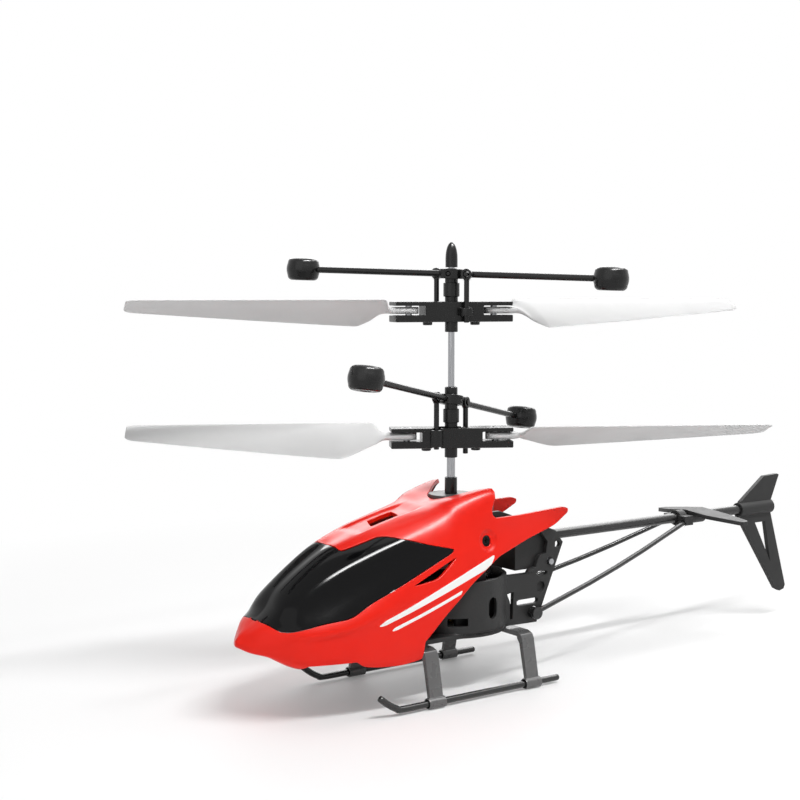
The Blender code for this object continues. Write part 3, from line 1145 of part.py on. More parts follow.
    bar = empty(f"{prefix}_flybar_axis", rise, (0, bar_tilt, bar_angle), axis)
    half_ring = FLYBAR_RING_HEIGHT / 2
    ring_wall = (FLYBAR_RING_INNER, FLYBAR_RING_OUTER)
    flybar = ring(f"{prefix}_flybar", *ring_wall, -half_ring, half_ring, GLOSS_BLACK, bar)
    bar_start = (FLYBAR_RING_INNER + FLYBAR_RING_OUTER) / 2
    bar_end = WEIGHT_X - WEIGHT_RADIUS + WEIGHT_BORE_DEPTH - SEAT_GAP
    for side in (-1, 1):
        join(flybar, rod((side * bar_start, 0, 0), (side * bar_end, 0, 0), FLYBAR_RADIUS, 12))
        pin_end = LINK_SIDE + LINK_EYE_WIDTH / 2 + SEAT_GAP
        pin = ((side * LINK_ARM, 0, 0), (side * LINK_ARM, side * outward * pin_end, 0))
        join(flybar, rod(*pin, LINK_PIN_RADIUS, 10))
    past = FLYBAR_RING_OUTER + EMBED
    cut(flybar, rod((0, -past, 0), (0, past, 0), BAR_PIN_RADIUS + PIVOT_GAP, 10))

    for letter, side in (("a", 1), ("b", -1)):
        half, soft = WEIGHT_HEIGHT / 2, WEIGHT_ROUND
        edge = WEIGHT_RADIUS - soft
        upper = arc(edge, half - soft, soft, math.pi / 2, 0.0, 3)
        lower = [(radius, -height) for radius, height in reversed(upper)]
        profile = [(0.0, half), *upper, *lower, (0.0, -half)]
        weight = turned(f"{prefix}_weight_{letter}", profile, GLOSS_BLACK, bar, (side * WEIGHT_X, 0, 0))
        inner = -side * (WEIGHT_RADIUS - WEIGHT_BORE_DEPTH)
        cut(weight, rod((-side * 2 * WEIGHT_RADIUS, 0, 0), (inner, 0, 0), FLYBAR_RADIUS + PIVOT_GAP, 12))

        place = (side * LINK_ARM, side * outward * LINK_SIDE, 0)
        pivot = empty(f"{prefix}_link_{letter}_axis", place, (0, -bar_tilt, 0), bar)
        width = LINK_EYE_WIDTH / 2
        eye = circle(0, 0, LINK_EYE_RADIUS, 18)
        hole = circle(0, 0, LINK_PIN_RADIUS + PIVOT_GAP, 12)
        link = add(f"{prefix}_link_{letter}", plate(eye, -width, width, "Y", [hole]), GLOSS_BLACK, pivot)
        eye_edge = LINK_PIN_RADIUS + PIVOT_GAP + EMBED / 2
        foot = -FLYBAR_RISE - ear_half - LINK_BELOW_EAR
        join(link, rod((0, 0, -eye_edge), (0, 0, foot), LINK_ROD_RADIUS, 12))


build_canopy()
build_frame_half("frame_left", 1)
build_frame_half("frame_right", -1)
build_bearings()
build_drive()
build_electrics()
build_landing_gear()
build_tail()
build_rotor(
    "lower", LOWER_ROTOR_Z, -1, LOWER_BLADE_ANGLE, LOWER_BAR_ANGLE, LOWER_BAR_TILT, -1, OUTER_SHAFT_RADIUS,
    LOWER_HUB_ABOVE_BAR, LOWER_FLARE_X,
)
build_rotor(
    "upper", UPPER_ROTOR_Z, 1, UPPER_BLADE_ANGLE, UPPER_BAR_ANGLE, UPPER_BAR_TILT, -1, INNER_SHAFT_RADIUS,
    UPPER_HUB_ABOVE_BAR, UPPER_FLARE_X,
)
cap_low = UPPER_ROTOR_Z + FLYBAR_RISE + UPPER_HUB_ABOVE_BAR + SEAT_GAP
cap_bore = INNER_SHAFT_RADIUS + RUN_GAP
cap_profile = [
    (CAP_RADIUS * math.sin(a), cap_low + CAP_HEIGHT * (0.35 + 0.65 * math.cos(a)))
    for a in [math.pi / 2 * i / 6 for i in range(7)]
]
cap_top = cap_low + CAP_HEIGHT / 2
cap_profile += [(CAP_RADIUS, cap_low), (cap_bore, cap_low), (cap_bore, cap_top), (0.0, cap_top)]
turned("mast_cap", cap_profile, GLOSS_BLACK, ROOT, sides=20)
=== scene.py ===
import math

import bmesh
import bpy
import numpy as np
from mathutils import Matrix, Vector
from mathutils.geometry import delaunay_2d_cdt
from mathutils.kdtree import KDTree


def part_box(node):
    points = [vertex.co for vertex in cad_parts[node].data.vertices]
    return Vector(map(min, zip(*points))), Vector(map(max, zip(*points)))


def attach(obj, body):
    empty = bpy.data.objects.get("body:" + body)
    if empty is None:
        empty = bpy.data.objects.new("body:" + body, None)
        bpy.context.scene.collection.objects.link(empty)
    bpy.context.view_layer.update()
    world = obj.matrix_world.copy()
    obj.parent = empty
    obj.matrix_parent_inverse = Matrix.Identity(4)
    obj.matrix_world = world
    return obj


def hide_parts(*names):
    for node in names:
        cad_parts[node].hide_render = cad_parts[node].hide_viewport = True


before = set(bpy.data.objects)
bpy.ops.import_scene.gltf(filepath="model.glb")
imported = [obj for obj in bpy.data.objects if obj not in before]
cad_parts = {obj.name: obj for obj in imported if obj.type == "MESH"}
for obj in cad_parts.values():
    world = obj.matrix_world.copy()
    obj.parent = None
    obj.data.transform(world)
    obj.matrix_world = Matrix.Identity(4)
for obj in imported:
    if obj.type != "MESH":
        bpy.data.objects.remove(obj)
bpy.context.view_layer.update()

# Frame halves: two mirrored black mouldings with the tray, half of the gear barrel and a holed side plate.
# They are injection moulded in ABS with a fine spark-eroded texture, and are screwed together at the middle.
# The moulds leave every edge slightly round, which shows as a thin pale line.
MM = 0.001
shaft_low, shaft_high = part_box("inner_shaft")
MAST = Vector(((shaft_low.x + shaft_high.x) / 2, (shaft_low.y + shaft_high.y) / 2, 0.0))
FRAME_EDGE = 0.16
SHARP = 38.0
MERGE = 0.003
FLAT = 0.8
NOISE_RANGE = (0.3, 0.7)


def linear(code):
    """An sRGB hex colour as the linear colour that Blender's sockets take."""
    channels = [int(code[i:i + 2], 16) / 255 for i in (1, 3, 5)]
    return (*[c / 12.92 if c <= 0.04045 else ((c + 0.055) / 1.055) ** 2.4 for c in channels], 1.0)


def node(tree, kind, sockets=(), **settings):
    """One node with its settings, and with values or links on its sockets."""
    made = tree.nodes.new(kind)
    for name, value in settings.items():
        setattr(made, name, value)
    for name, value in dict(sockets).items():
        if isinstance(value, bpy.types.NodeSocket):
            tree.links.new(value, made.inputs[name])
        else:
            made.inputs[name].default_value = value
    return made


def surface(name):
    """A new material, with its tree, its shader and the place of each point on the object."""
    material = bpy.data.materials.new(name)
    material.use_nodes = True
    tree = material.node_tree
    return material, tree, tree.nodes["Principled BSDF"], node(tree, "ShaderNodeTexCoord").outputs["Object"]


def toned(tree, shader, clouds, grain, dark, light, rough):
    """Lets one noise wander between two colours, and another between two roughnesses."""
    tint = node(tree, "ShaderNodeMix", {0: clouds.outputs["Fac"], 6: linear(dark), 7: linear(light)},
                data_type="RGBA")
    sheen = node(tree, "ShaderNodeMapRange", {"Value": grain.outputs["Fac"], "From Min": NOISE_RANGE[0],
                                              "From Max": NOISE_RANGE[1], "To Min": rough[0],
                                              "To Max": rough[1]})
    tree.links.new(tint.outputs[2], shader.inputs["Base Color"])
    tree.links.new(sheen.outputs["Result"], shader.inputs["Roughness"])


def moulded(name, dark, light, cloud_mm, rough, grain_mm, relief_mm, shine=0.3):
    """A plastic: colour that clouds slightly, and a fine grain that breaks up the gloss."""
    material, tree, shader, place = surface(name)
    shader.inputs["Specular IOR Level"].default_value = shine
    clouds = node(tree, "ShaderNodeTexNoise", {"Vector": place, "Scale": 1 / (cloud_mm * MM), "Detail": 3.0})
    grain = node(tree, "ShaderNodeTexNoise", {"Vector": place, "Scale": 1 / (grain_mm * MM), "Detail": 2.0})
    toned(tree, shader, clouds, grain, dark, light, rough)
    relief = node(tree, "ShaderNodeBump", {"Height": grain.outputs["Fac"], "Distance": relief_mm * MM})
    tree.links.new(relief.outputs["Normal"], shader.inputs["Normal"])
    return material


def piece(name, mesh, body, material, slot, *nodes):
    """A finished mesh as a piece of a body that stands for the CAD nodes."""
    obj = bpy.data.objects.new(name, mesh)
    bpy.context.scene.collection.objects.link(obj)
    mesh.materials.clear()
    mesh.materials.append(material)
    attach(obj, body)
    if nodes:
        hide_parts(*nodes)
    return obj


def eased(name, edge_mm, sharp):
    """A CAD node with merged corners, flat faces rejoined and kept flat, and every sharp edge rounded."""
    bm = bmesh.new()
    bm.from_mesh(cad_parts[name].data)
    bmesh.ops.remove_doubles(bm, verts=bm.verts, dist=MERGE * MM)
    bmesh.ops.dissolve_degenerate(bm, dist=MERGE * MM, edges=bm.edges)
    bmesh.ops.dissolve_limit(bm, angle_limit=math.radians(FLAT), verts=bm.verts, edges=bm.edges)
    edges = [e for e in bm.edges if len(e.link_faces) == 2 and e.calc_face_angle() > math.radians(sharp)]
    if edge_mm:
        bmesh.ops.bevel(bm, geom=edges, offset=edge_mm * MM, offset_type="OFFSET", segments=2, profile=0.5,
                        affect="EDGES", clamp_overlap=False)
    bm.normal_update()
    area = {face: face.calc_area() for face in bm.faces}
    likeness = math.cos(math.radians(sharp))
    facing = []
    for face in bm.faces:
        face.smooth = True
        for corner in face.loops:
            near = [f for f in corner.vert.link_faces if f.normal.dot(face.normal) > likeness]
            facing.append(sum((f.normal * area[f] for f in near), Vector()).normalized())
    mesh = bpy.data.meshes.new(name)
    bm.to_mesh(mesh)
    bm.free()
    mesh.set_sharp_from_angle(angle=math.radians(sharp))
    mesh.normals_split_custom_set(facing)
    return mesh


def dress(name, body, material, slot, edge_mm, sharp=SHARP):
    """A CAD node's own shape with eased edges, in its place."""
    return piece(f"{name}_finished", eased(name, edge_mm, sharp), body, material, slot, name)


# Spark-eroded ABS: a soft sheen with a sandy grain, drawn at 0.35 mm so that it shows.
frame_abs = moulded("black_abs_spark_eroded", "#1E1E1E", "#2A2A2A", 9.0, (0.42, 0.58), 0.35, 0.02)
for half in ("frame_left", "frame_right"):
    dress(half, "airframe", frame_abs, "black_frame_plastic", FRAME_EDGE)
dress("boom_socket", "airframe", frame_abs, "black_frame_plastic", FRAME_EDGE)

# Motors, pinions and gears: two drawn steel motor cans with brass pinions, and two black nylon gears.
# The cans are deep drawn, the pinions turned and pressed on, the gears moulded.
GEAR_SHARP = 30.0


def metal(name, dark, light, rough, line_mm, stretch):
    """A worked metal: lines from the tool that run along the stretched axis."""
    material, tree, shader, place = surface(name)
    shader.inputs["Metallic"].default_value = 1.0
    drawn_out = node(tree, "ShaderNodeMapping", {"Vector": place, "Scale": stretch}).outputs["Vector"]
    lines = node(tree, "ShaderNodeTexNoise", {"Vector": drawn_out, "Scale": 1 / (line_mm * MM),
                                              "Detail": 2.0})
    toned(tree, shader, lines, lines, dark, light, rough)
    return material


# Drawn steel: bright with faint lines along the draw, drawn at 0.2 mm so that they show.
drawn_steel = metal("drawn_steel", "#808285", "#B4B4B6", (0.16, 0.3), 0.2, (1.0, 1.0, 0.06))
# Turned brass: warm and bright, with fine rings from the lathe.
turned_brass = metal("turned_brass", "#A8813A", "#D9B566", (0.2, 0.34), 0.2, (0.1, 0.1, 1.0))
# Moulded nylon: a dull black that hides between the frame halves.
gear_nylon = moulded("black_nylon_moulded", "#131313", "#1D1D1D", 5.0, (0.38, 0.5), 0.3, 0.01)
for name in ("front_motor", "rear_motor"):
    dress(name, "airframe", drawn_steel, "bright_steel", 0.0)
for name in ("front_pinion", "rear_pinion"):
    dress(name, name, turned_brass, "brass", 0.0)
dress("shaft_bush", "airframe", turned_brass, "brass", 0.1)
dress("lower_rotor_gear", "lower_rotor", gear_nylon, "black_nylon", 0.0, GEAR_SHARP)
dress("upper_rotor_gear", "upper_rotor", gear_nylon, "black_nylon", 0.0, GEAR_SHARP)
dress("socket_pin", "airframe", drawn_steel, "bright_steel", 0.12)

# Electrics on the tray: a film-wrapped cell, the circuit board over it, the sensor, the charge socket and
# the sliding switch. All sit under the canopy; only the sensor, socket and slider reach through the floor.
# Cell film: silvery and slightly crumpled, with broken highlights.
cell_film = moulded("silver_cell_film", "#8E9196", "#A9ADB2", 6.0, (0.22, 0.4), 1.6, 0.05)
# Solder mask: a clear dark green lacquer with a soft gloss.
solder_mask = moulded("green_solder_mask", "#0C3A1C", "#15532A", 1.2, (0.25, 0.4), 0.4, 0.02)
# Sensor epoxy: a black drop with a wet gloss.
sensor_epoxy = moulded("black_sensor_epoxy", "#0B0808", "#160F10", 2.0, (0.08, 0.16), 0.5, 0.004)
dress("battery", "airframe", cell_film, "battery_wrap", 0.3)
dress("circuit_board", "airframe", solder_mask, "green_board", 0.06)
dress("infrared_sensor", "airframe", sensor_epoxy, "black_window", 0.12)


def blank(verts, faces, normals=None):
    """A mesh from points in millimetres from the mast, smooth all over."""
    mesh = bpy.data.meshes.new("blank")
    mesh.from_pydata([Vector(v) * MM + MAST for v in verts], [], faces)
    mesh.polygons.foreach_set("use_smooth", [True] * len(mesh.polygons))
    if normals is not None:
        mesh.normals_split_custom_set_from_vertices(normals)
    return mesh


def grown(base, tree, values, sharp):
    """The plain mesh that a node tree makes of a base mesh, with its named inputs set first."""
    obj = bpy.data.objects.new("base", base)
    bpy.context.scene.collection.objects.link(obj)
    modifier = obj.modifiers.new("nodes", "NODES")
    modifier.node_group = tree
    for socket in tree.interface.items_tree:
        if socket.in_out == "INPUT" and socket.name in values:
            modifier[socket.identifier] = values[socket.name]
    seen = obj.evaluated_get(bpy.context.evaluated_depsgraph_get())
    mesh = bpy.data.meshes.new_from_object(seen)
    obj.modifiers.clear()
    bpy.data.objects.remove(obj)
    mesh.polygons.foreach_set("use_smooth", [True] * len(mesh.polygons))
    mesh.set_sharp_from_angle(angle=math.radians(sharp))
    return mesh


def started_tree(name, *sizes, **others):
    """An empty node tree for a repeated part: its base, named sizes, other inputs and a finish go in."""
    tree = bpy.data.node_groups.new(name, "GeometryNodeTree")
    kinds = {"Geometry": "Geometry", **dict.fromkeys(sizes, "Float"), **others, "Finish": "Material"}
    for label, kind in kinds.items():
        tree.interface.new_socket(label, in_out="INPUT", socket_type=f"NodeSocket{kind}")
    tree.interface.new_socket("Geometry", in_out="OUTPUT", socket_type="NodeSocketGeometry")
    return tree, tree.nodes.new("NodeGroupInput").outputs


def ended_tree(tree, points, shape, turn, finish):
    """Puts the shape on every point, makes it one plain mesh and gives it its finish."""
    spread = node(tree, "GeometryNodeInstanceOnPoints", {"Points": points, "Instance": shape,
                                                         "Rotation": turn})
    real = node(tree, "GeometryNodeRealizeInstances", {"Geometry": spread.outputs[0]})
    done = node(tree, "GeometryNodeSetMaterial", {"Geometry": real.outputs[0], "Material": finish})
    node(tree, "NodeGroupOutput", {"Geometry": done.outputs[0]})
    return tree


def board_tree():
    """Nodes that scatter small blocks over a patch of board, with a fixed seed."""
    tree, given = started_tree("board_parts", "Spacing", "Length", "Width", "Height", Seed="Int")
    spots = node(tree, "GeometryNodeDistributePointsOnFaces", {"Mesh": given["Geometry"],
                 "Distance Min": given["Spacing"], "Density Max": 2e6, "Seed": given["Seed"]},
                 distribute_method="POISSON")
    size = node(tree, "ShaderNodeCombineXYZ", {"X": given["Length"], "Y": given["Width"],
                                               "Z": given["Height"]})
    block = node(tree, "GeometryNodeMeshCube", {"Size": size.outputs[0]})
    quarter = node(tree, "FunctionNodeRandomValue", {"Min": 0, "Max": 1, "Seed": given["Seed"]},
                   data_type="INT")
    angle = node(tree, "ShaderNodeMath", {0: quarter.outputs[2], 1: math.pi / 2}, operation="MULTIPLY")
    turn = node(tree, "ShaderNodeCombineXYZ", {"Z": angle.outputs[0]})
    return ended_tree(tree, spots.outputs["Points"], block.outputs["Mesh"], turn.outputs[0], given["Finish"])


# Resistors and capacitors: sandy ceramic blocks with a dull glaze, soldered in a free patch of the board.
PART_SIZE, PART_SPACING, PART_SEED, PART_SHARP = (1.0, 0.5, 0.7), 1.35, 7, 30.0
PATCH_X, PATCH_Y, PATCH_RISE = (-6.4, -0.6), (1.8, 7.4), 1.0
low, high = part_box("circuit_board")
centre = ((low + high) / 2 - MAST) / MM
ceramic = moulded("glazed_ceramic", "#8F7C58", "#BBA57C", 0.8, (0.3, 0.45), 0.3, 0.01)
patch_z = low.z / MM + PATCH_RISE
corners = [(centre.x + PATCH_X[i], centre.y + PATCH_Y[j], patch_z)
           for i, j in ((0, 0), (1, 0), (1, 1), (0, 1))]
sizes = {"Spacing": PART_SPACING * MM, "Length": PART_SIZE[0] * MM, "Width": PART_SIZE[1] * MM,
         "Height": PART_SIZE[2] * MM, "Seed": PART_SEED, "Finish": ceramic}
mesh = grown(blank(corners, [(0, 1, 2, 3)]), board_tree(), sizes, PART_SHARP)
piece("board_parts", mesh, "airframe", ceramic, "green_board")
dress("charge_socket", "airframe", frame_abs, "black_frame_plastic", 0.12)
dress("switch_body", "airframe", frame_abs, "black_frame_plastic", 0.12)

# Mast: two coaxial steel shafts, the black sleeve that guides them and the grey deck disc on the frame.
# The shafts are ground rod and thin tube, and the sleeve and disc are moulded.
# Satin ABS: a mid grey with a fine sandy sheen.
grey_abs = moulded("grey_abs_satin", "#474747", "#575757", 8.0, (0.34, 0.46), 0.35, 0.012)
# Gloss nylon: deep black with small bright edges.
gloss_nylon = moulded("black_nylon_gloss", "#0C0C0C", "#151515", 4.0, (0.2, 0.3), 1.4, 0.004)
dress("inner_shaft", "upper_rotor", drawn_steel, "bright_steel", 0.0)
dress("outer_shaft", "lower_rotor", drawn_steel, "bright_steel", 0.0)
dress("mast_collar", "airframe", gloss_nylon, "black_rotor_plastic", 0.15)
dress("deck_plate", "airframe", grey_abs, "dark_grey_plastic", 0.2)
dress("switch_slider", "switch_slider", grey_abs, "dark_grey_plastic", 0.1)

# Landing gear: two flat sprung bows with sleeves, and the two skid tubes pushed through them.
# The bows are moulded in tough grey nylon, and the tubes are extruded in dark nylon with a raised round tip.
SKID_RADIUS, SKID_SIDES, SKID_STEPS = 0.8, 20, 6
SKID_X, SKID_RUN_Y = 17.0, (-17.3, -5.0, 12.2, 20.5)
SKID_TIP_Y, SKID_TIP_REACH, SKID_TIP_RISE = -27.0, 6.0, 3.4
BOW_EDGE = 0.2
CAP_ANGLES, CAP_LENGTH = (80, 55, 28), 0.6


def through(points, steps):
    """A smooth line through the points, with as many steps between each two of them."""
    points = np.asarray(points, float)
    padded = np.vstack([points[:1], points, points[-1:]])
    line = []
    for a, b, c, d in zip(padded, padded[1:], padded[2:], padded[3:]):
        for t in np.arange(steps) / steps:
            line.append(0.5 * (2 * b + (c - a) * t + (2 * a - 5 * b + 4 * c - d) * t * t
                               + (3 * b - a - 3 * c + d) * t ** 3))
    return np.array([*line, points[-1]])


def unit(rows):
    """The rows as directions of length one."""
    return rows / np.linalg.norm(rows, axis=1)[:, None]


def turns(count):
    """Even angles once round a circle."""
    return np.linspace(0, 2 * math.pi, count, endpoint=False)


def joined(rings):
    """Rings of points joined into one closed skin, with a flat face over each end."""
    sides = len(rings[0])
    faces = []
    for i in range(len(rings) - 1):
        for j in range(sides):
            k = (j + 1) % sides
            faces.append((i * sides + j, (i + 1) * sides + j, (i + 1) * sides + k, i * sides + k))
    last = (len(rings) - 1) * sides
    faces.append(tuple(range(sides)))
    faces.append(tuple(range(last, last + sides))[::-1])
    return blank([v for ring in rings for v in ring], faces)


def tube(line, radius, sides):
    """A round bar along a line, closed by round ends."""
    line = np.asarray(line, float)
    ahead = unit(np.gradient(line, axis=0))
    rings, places = [], []
    for end, sign in ((0, -1), (-1, 1)):
        cap = []
        for angle in np.radians(CAP_ANGLES):
            out = sign * ahead[end] * radius * math.sin(angle) * CAP_LENGTH
            cap.append((line[end] + out, radius * math.cos(angle), ahead[end]))
        places.append(cap if sign < 0 else cap[::-1])
    body = [(place, radius, along) for place, along in zip(line, ahead)]
    up = np.array((0.0, 0.0, 1.0))
    for centre, reach, along in places[0] + body + places[1]:
        side = np.cross(along, up)
        side /= np.linalg.norm(side)
        top = np.cross(side, along)
        rings.append([centre + reach * (side * math.cos(a) + top * math.sin(a)) for a in turns(sides)])
    return joined(rings)


# Extruded nylon: near black, with a light streak along the top of each tube.
tube_nylon = moulded("dark_nylon_extruded", "#202020", "#292929", 9.0, (0.2, 0.26), 2.0, 0.001, 0.45)
# The bows are polished in the mould and look a step lighter than the tubes.
bow_grey = moulded("grey_nylon_polished", "#525252", "#5E5E5E", 14.0, (0.26, 0.3), 3.0, 0.001, 0.5)
for name in ("front_bow", "rear_bow"):
    dress(name, "airframe", bow_grey, "dark_grey_plastic", BOW_EDGE)
for name, side in (("left_skid", 1), ("right_skid", -1)):
    low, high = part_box(name)
    skid_z = (low.z / MM) + SKID_RADIUS
    skid_x = side * SKID_X
    tip = [(skid_x, SKID_TIP_Y - SKID_TIP_REACH * s, skid_z + SKID_TIP_RISE * s ** 1.5)
           for s in (1.0, 0.75, 0.5, 0.25, 0.0)]
    run = [(skid_x, y, skid_z) for y in SKID_RUN_Y]
    mesh = tube(through(tip + run, SKID_STEPS), SKID_RADIUS, SKID_SIDES)
    piece(f"{name}_finished", mesh, "airframe", tube_nylon, "dark_grey_plastic", name)

# Tail: the boom tube with the fin and stabilizer pushed on, and two support rods up to a clip.
# The boom and rods are extruded in dark nylon, and the others are moulded in satin nylon a shade lighter.
TAIL_EDGE, ROD_EDGE = 0.09, 0.12
BOOM_RADIUS, BOOM_SIDES, BOOM_POINTS = 1.35, 32, 12
low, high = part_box("tail_boom")
boom_z = (low.z + high.z) / 2 / MM
boom_y = [(y - MAST.y) / MM for y in (low.y, high.y)]
line_y = np.linspace(boom_y[0] + BOOM_RADIUS, boom_y[1] - BOOM_RADIUS, BOOM_POINTS)
mesh = tube([(0.0, y, boom_z) for y in line_y], BOOM_RADIUS, BOOM_SIDES)
piece("tail_boom_finished", mesh, "airframe", tube_nylon, "dark_grey_plastic", "tail_boom")
for name in ("left_support_rod", "right_support_rod"):
    dress(name, "airframe", tube_nylon, "dark_grey_plastic", ROD_EDGE)
# Satin nylon: dark grey with a soft sheen along the rounded edges.
gear_grey = moulded("grey_nylon_satin", "#2A2A2A", "#333333", 9.0, (0.44, 0.5), 2.0, 0.002, 0.2)
for name in ("tail_fin", "stabilizer", "boom_clip"):
    dress(name, "airframe", gear_grey, "dark_grey_plastic", TAIL_EDGE)

# Canopy and window: a thin red shell and a black pane, both cut from one smooth blown-looking form.
# They are moulded in gloss plastic, the pane is set flush in the shell with a hairline gap, and two
# screws hold the shell to the frame.
# Each guide line: its place along the body, the floor, four points up one side (out, up) and the crown
GUIDES = (
    (-61.15, 18.60, (0.0, 18.62), (0.0, 18.66), (0.0, 18.70), (0.0, 18.74), 18.76),
    (-60.9, 17.5, (0.6, 17.6), (0.9, 18.3), (0.8, 19.4), (0.5, 19.9), 20.0),
    (-60.3, 16.9, (1.8, 17.0), (2.6, 18.0), (2.2, 20.0), (1.1, 20.7), 20.9),
    (-58.8, 16.2, (4.2, 16.3), (5.4, 18.1), (4.8, 21.2), (2.5, 22.2), 22.5),
    (-55.5, 15.3, (7.0, 15.4), (8.8, 18.5), (8.0, 21.8), (3.6, 24.3), 25.0),
    (-50.0, 12.6, (10.0, 12.8), (12.3, 18.8), (11.5, 22.1), (4.6, 28.8), 29.9),
    (-40.0, 9.0, (13.4, 11.6), (15.4, 19.4), (14.8, 23.8), (5.6, 35.5), 36.7),
    (-30.0, 7.0, (14.4, 9.6), (16.4, 20.5), (15.6, 28.4), (7.3, 39.4), 41.0),
    (-20.0, 7.0, (14.8, 9.6), (16.7, 21.5), (15.1, 32.4), (8.7, 42.0), 43.9),
    (-11.0, 7.0, (14.6, 9.6), (16.4, 22.5), (14.5, 35.6), (10.0, 44.4), 45.6),
    (-6.0, 7.0, (14.4, 9.6), (16.0, 23.5), (14.2, 37.0), (10.6, 46.9), 46.4),
    (4.8, 7.0, (13.8, 9.6), (15.2, 25.0), (13.6, 38.4), (11.5, 49.2), 47.0),
    (18.0, 7.0, (12.0, 12.0), (13.0, 28.0), (12.0, 39.0), (10.4, 48.0), 47.0),
    (32.0, 7.0, (10.0, 14.0), (11.0, 30.0), (10.6, 40.5), (9.2, 47.0), 46.5),
)
# Outlines seen from the side (along, up); the slot is seen from above (out, along)
SIDE_EDGE = (
    (-66.0, 14.9), (-55.0, 14.9), (-54.0, 13.0), (-52.0, 11.9), (-50.2, 11.8), (-48.8, 13.2), (-38.2, 13.5),
    (-36.2, 12.0), (-32.3, 11.4), (-26.0, 11.0), (-20.6, 11.8), (-20.0, 15.9), (-14.0, 21.1), (-4.9, 27.9),
    (3.8, 33.1), (13.5, 35.9), (24.5, 38.5), (29.4, 41.2), (29.6, 42.2), (28.0, 42.8), (12.7, 42.3),
    (3.8, 42.4), (2.7, 43.2), (2.6, 44.6), (4.6, 49.0), (4.6, 60.0), (-66.0, 60.0),
)
WINDOW_EDGE = (
    (-66.0, 23.0), (-56.6, 23.0), (-54.2, 21.3), (-52.6, 21.3), (-46.0, 22.8), (-39.4, 23.7), (-34.0, 26.7),
    (-10.3, 35.6), (-9.8, 36.4),
    (-20.7, 38.9), (-26.8, 40.3), (-36.9, 37.2), (-36.9, 60.0), (-66.0, 60.0),
)
VENT_EDGE = ((-24.7, 28.8), (-7.6, 35.4), (-15.2, 29.9))
SLOT_EDGE = ((-2.6, -16.4), (-2.6, -23.8), (2.6, -26.0), (2.6, -17.6))
MAST_NOTCH = 6.05
NOTCH_Z, SLOT_Z, TOP_Z, SEAT_X = 43.4, 33.4, 36.0, 8.0
EAR_TIP = (11.8, 5.0)
SCREW_PLACE = (0.8, 37.2)
SCREW_HOLE = 1.55
RECESS_RADIUS = 3.1
RECESS_DEPTH = 0.65
SEAT_RINGS = (1.9, 2.3, 2.7, 3.1, 3.6)
SIDE_CORNER, WINDOW_CORNER, VENT_CORNER, SLOT_CORNER, STRIPE_CORNER = 0.9, 0.8, 0.5, 0.8, 0.4
LINE_STEP, SLOT_STEP = 0.6, 0.5
CREST_Q = 3.7
CREST_ROWS = (2.0, 4.5, 7.7, 9.2)
CREST_RISE = 0.65
CREST_WIDTH = 5.0
CREST_ROUND = 2.0
CREST_LINES, CREST_STEP = (-0.07, -0.025, 0.0, 0.025, 0.07), 0.08
CHANNEL_X = (3.2, 4.8)
CHANNEL_Y = (-32.0, -28.0, -15.0, -11.0)
CHANNEL_DEPTH = 0.7
SHELL_WALL = 1.15
NOSE_WALL, NOSE_ROW, NOSE_ROWS = 0.35, 1, 3
SEAM, SEAM_ROUND, SEAM_NEAR = 0.1, 0.1, 0.35
RIM_ROUND = 0.22
SKIN_STEP = 0.95
GENTLE = 1.8
NOSE_RAKE = 0.4
RAKE_END = -50.0

net = []
for y, floor, bottom, side, shoulder, ridge, crown in GUIDES:
    ring = [(0.0, floor), bottom, side, shoulder, ridge, (0.0, crown)]
    ring += [(-x, z) for x, z in (ridge, shoulder, side, bottom)]
    fade = min(max((RAKE_END - y) / (RAKE_END - GUIDES[1][0]), 0.0), 1.0)
    net.append([(x, y + NOSE_RAKE * fade * (z - floor), z) for x, z in ring])
net = np.array(net)
ROWS, COLUMNS = net.shape[:2]
CROWN, TOP_COLUMNS, SLOT_COLUMNS = COLUMNS / 2, (3.0, 7.0), (4.0, 6.0)
FINE, SAMPLES, SIDE_COLUMN, MIDDLE_ROW = 400, (420, 220), 2.6, 8.0


def blend_weights(f):
    """How much each of four guide lines in a row pulls at a point between the middle two."""
    return 0.5 * np.stack([-f + 2 * f ** 2 - f ** 3, 2 - 5 * f ** 2 + 3 * f ** 3,
                           f + 4 * f ** 2 - 3 * f ** 3, -f ** 2 + f ** 3], -1)


def skin(t, q):
    """Points of the canopy's form: t runs along the guide lines, q round from the floor over the crown."""
    t = np.clip(t, 0, ROWS - 1)
    i = np.clip(np.floor(t).astype(int), 0, ROWS - 2)
    j = np.floor(q).astype(int)
    reach = np.arange(-1, 3)
    rows = np.clip(i[:, None] + reach, 0, ROWS - 1)
    columns = (j[:, None] + reach) % COLUMNS
    near = net[rows[:, :, None], columns[:, None, :]]
    return np.einsum("na,nb,nabc->nc", blend_weights(t - i), blend_weights(q - j), near)


def skin_normals(t, q):
    """The form's outward directions."""
    step = 0.02
    along = skin(t + step, q) - skin(t - step, q)
    around = skin(t, q + step) - skin(t, q - step)
    normals = np.cross(along, around)
    length = np.linalg.norm(normals, axis=1)
    normals[length < 1e-9] = (0.0, -1.0, 0.0)
    normals = unit(normals)
    floor_line, crown_line = skin(t, np.zeros_like(q)), skin(t, np.full_like(q, CROWN))
    outward = skin(t, q) - floor_line * 0.5 - crown_line * 0.5
    normals[(normals * outward).sum(1) < 0] *= -1
    normals[t < 0.05] = (0.0, -1.0, 0.0)
    return normals


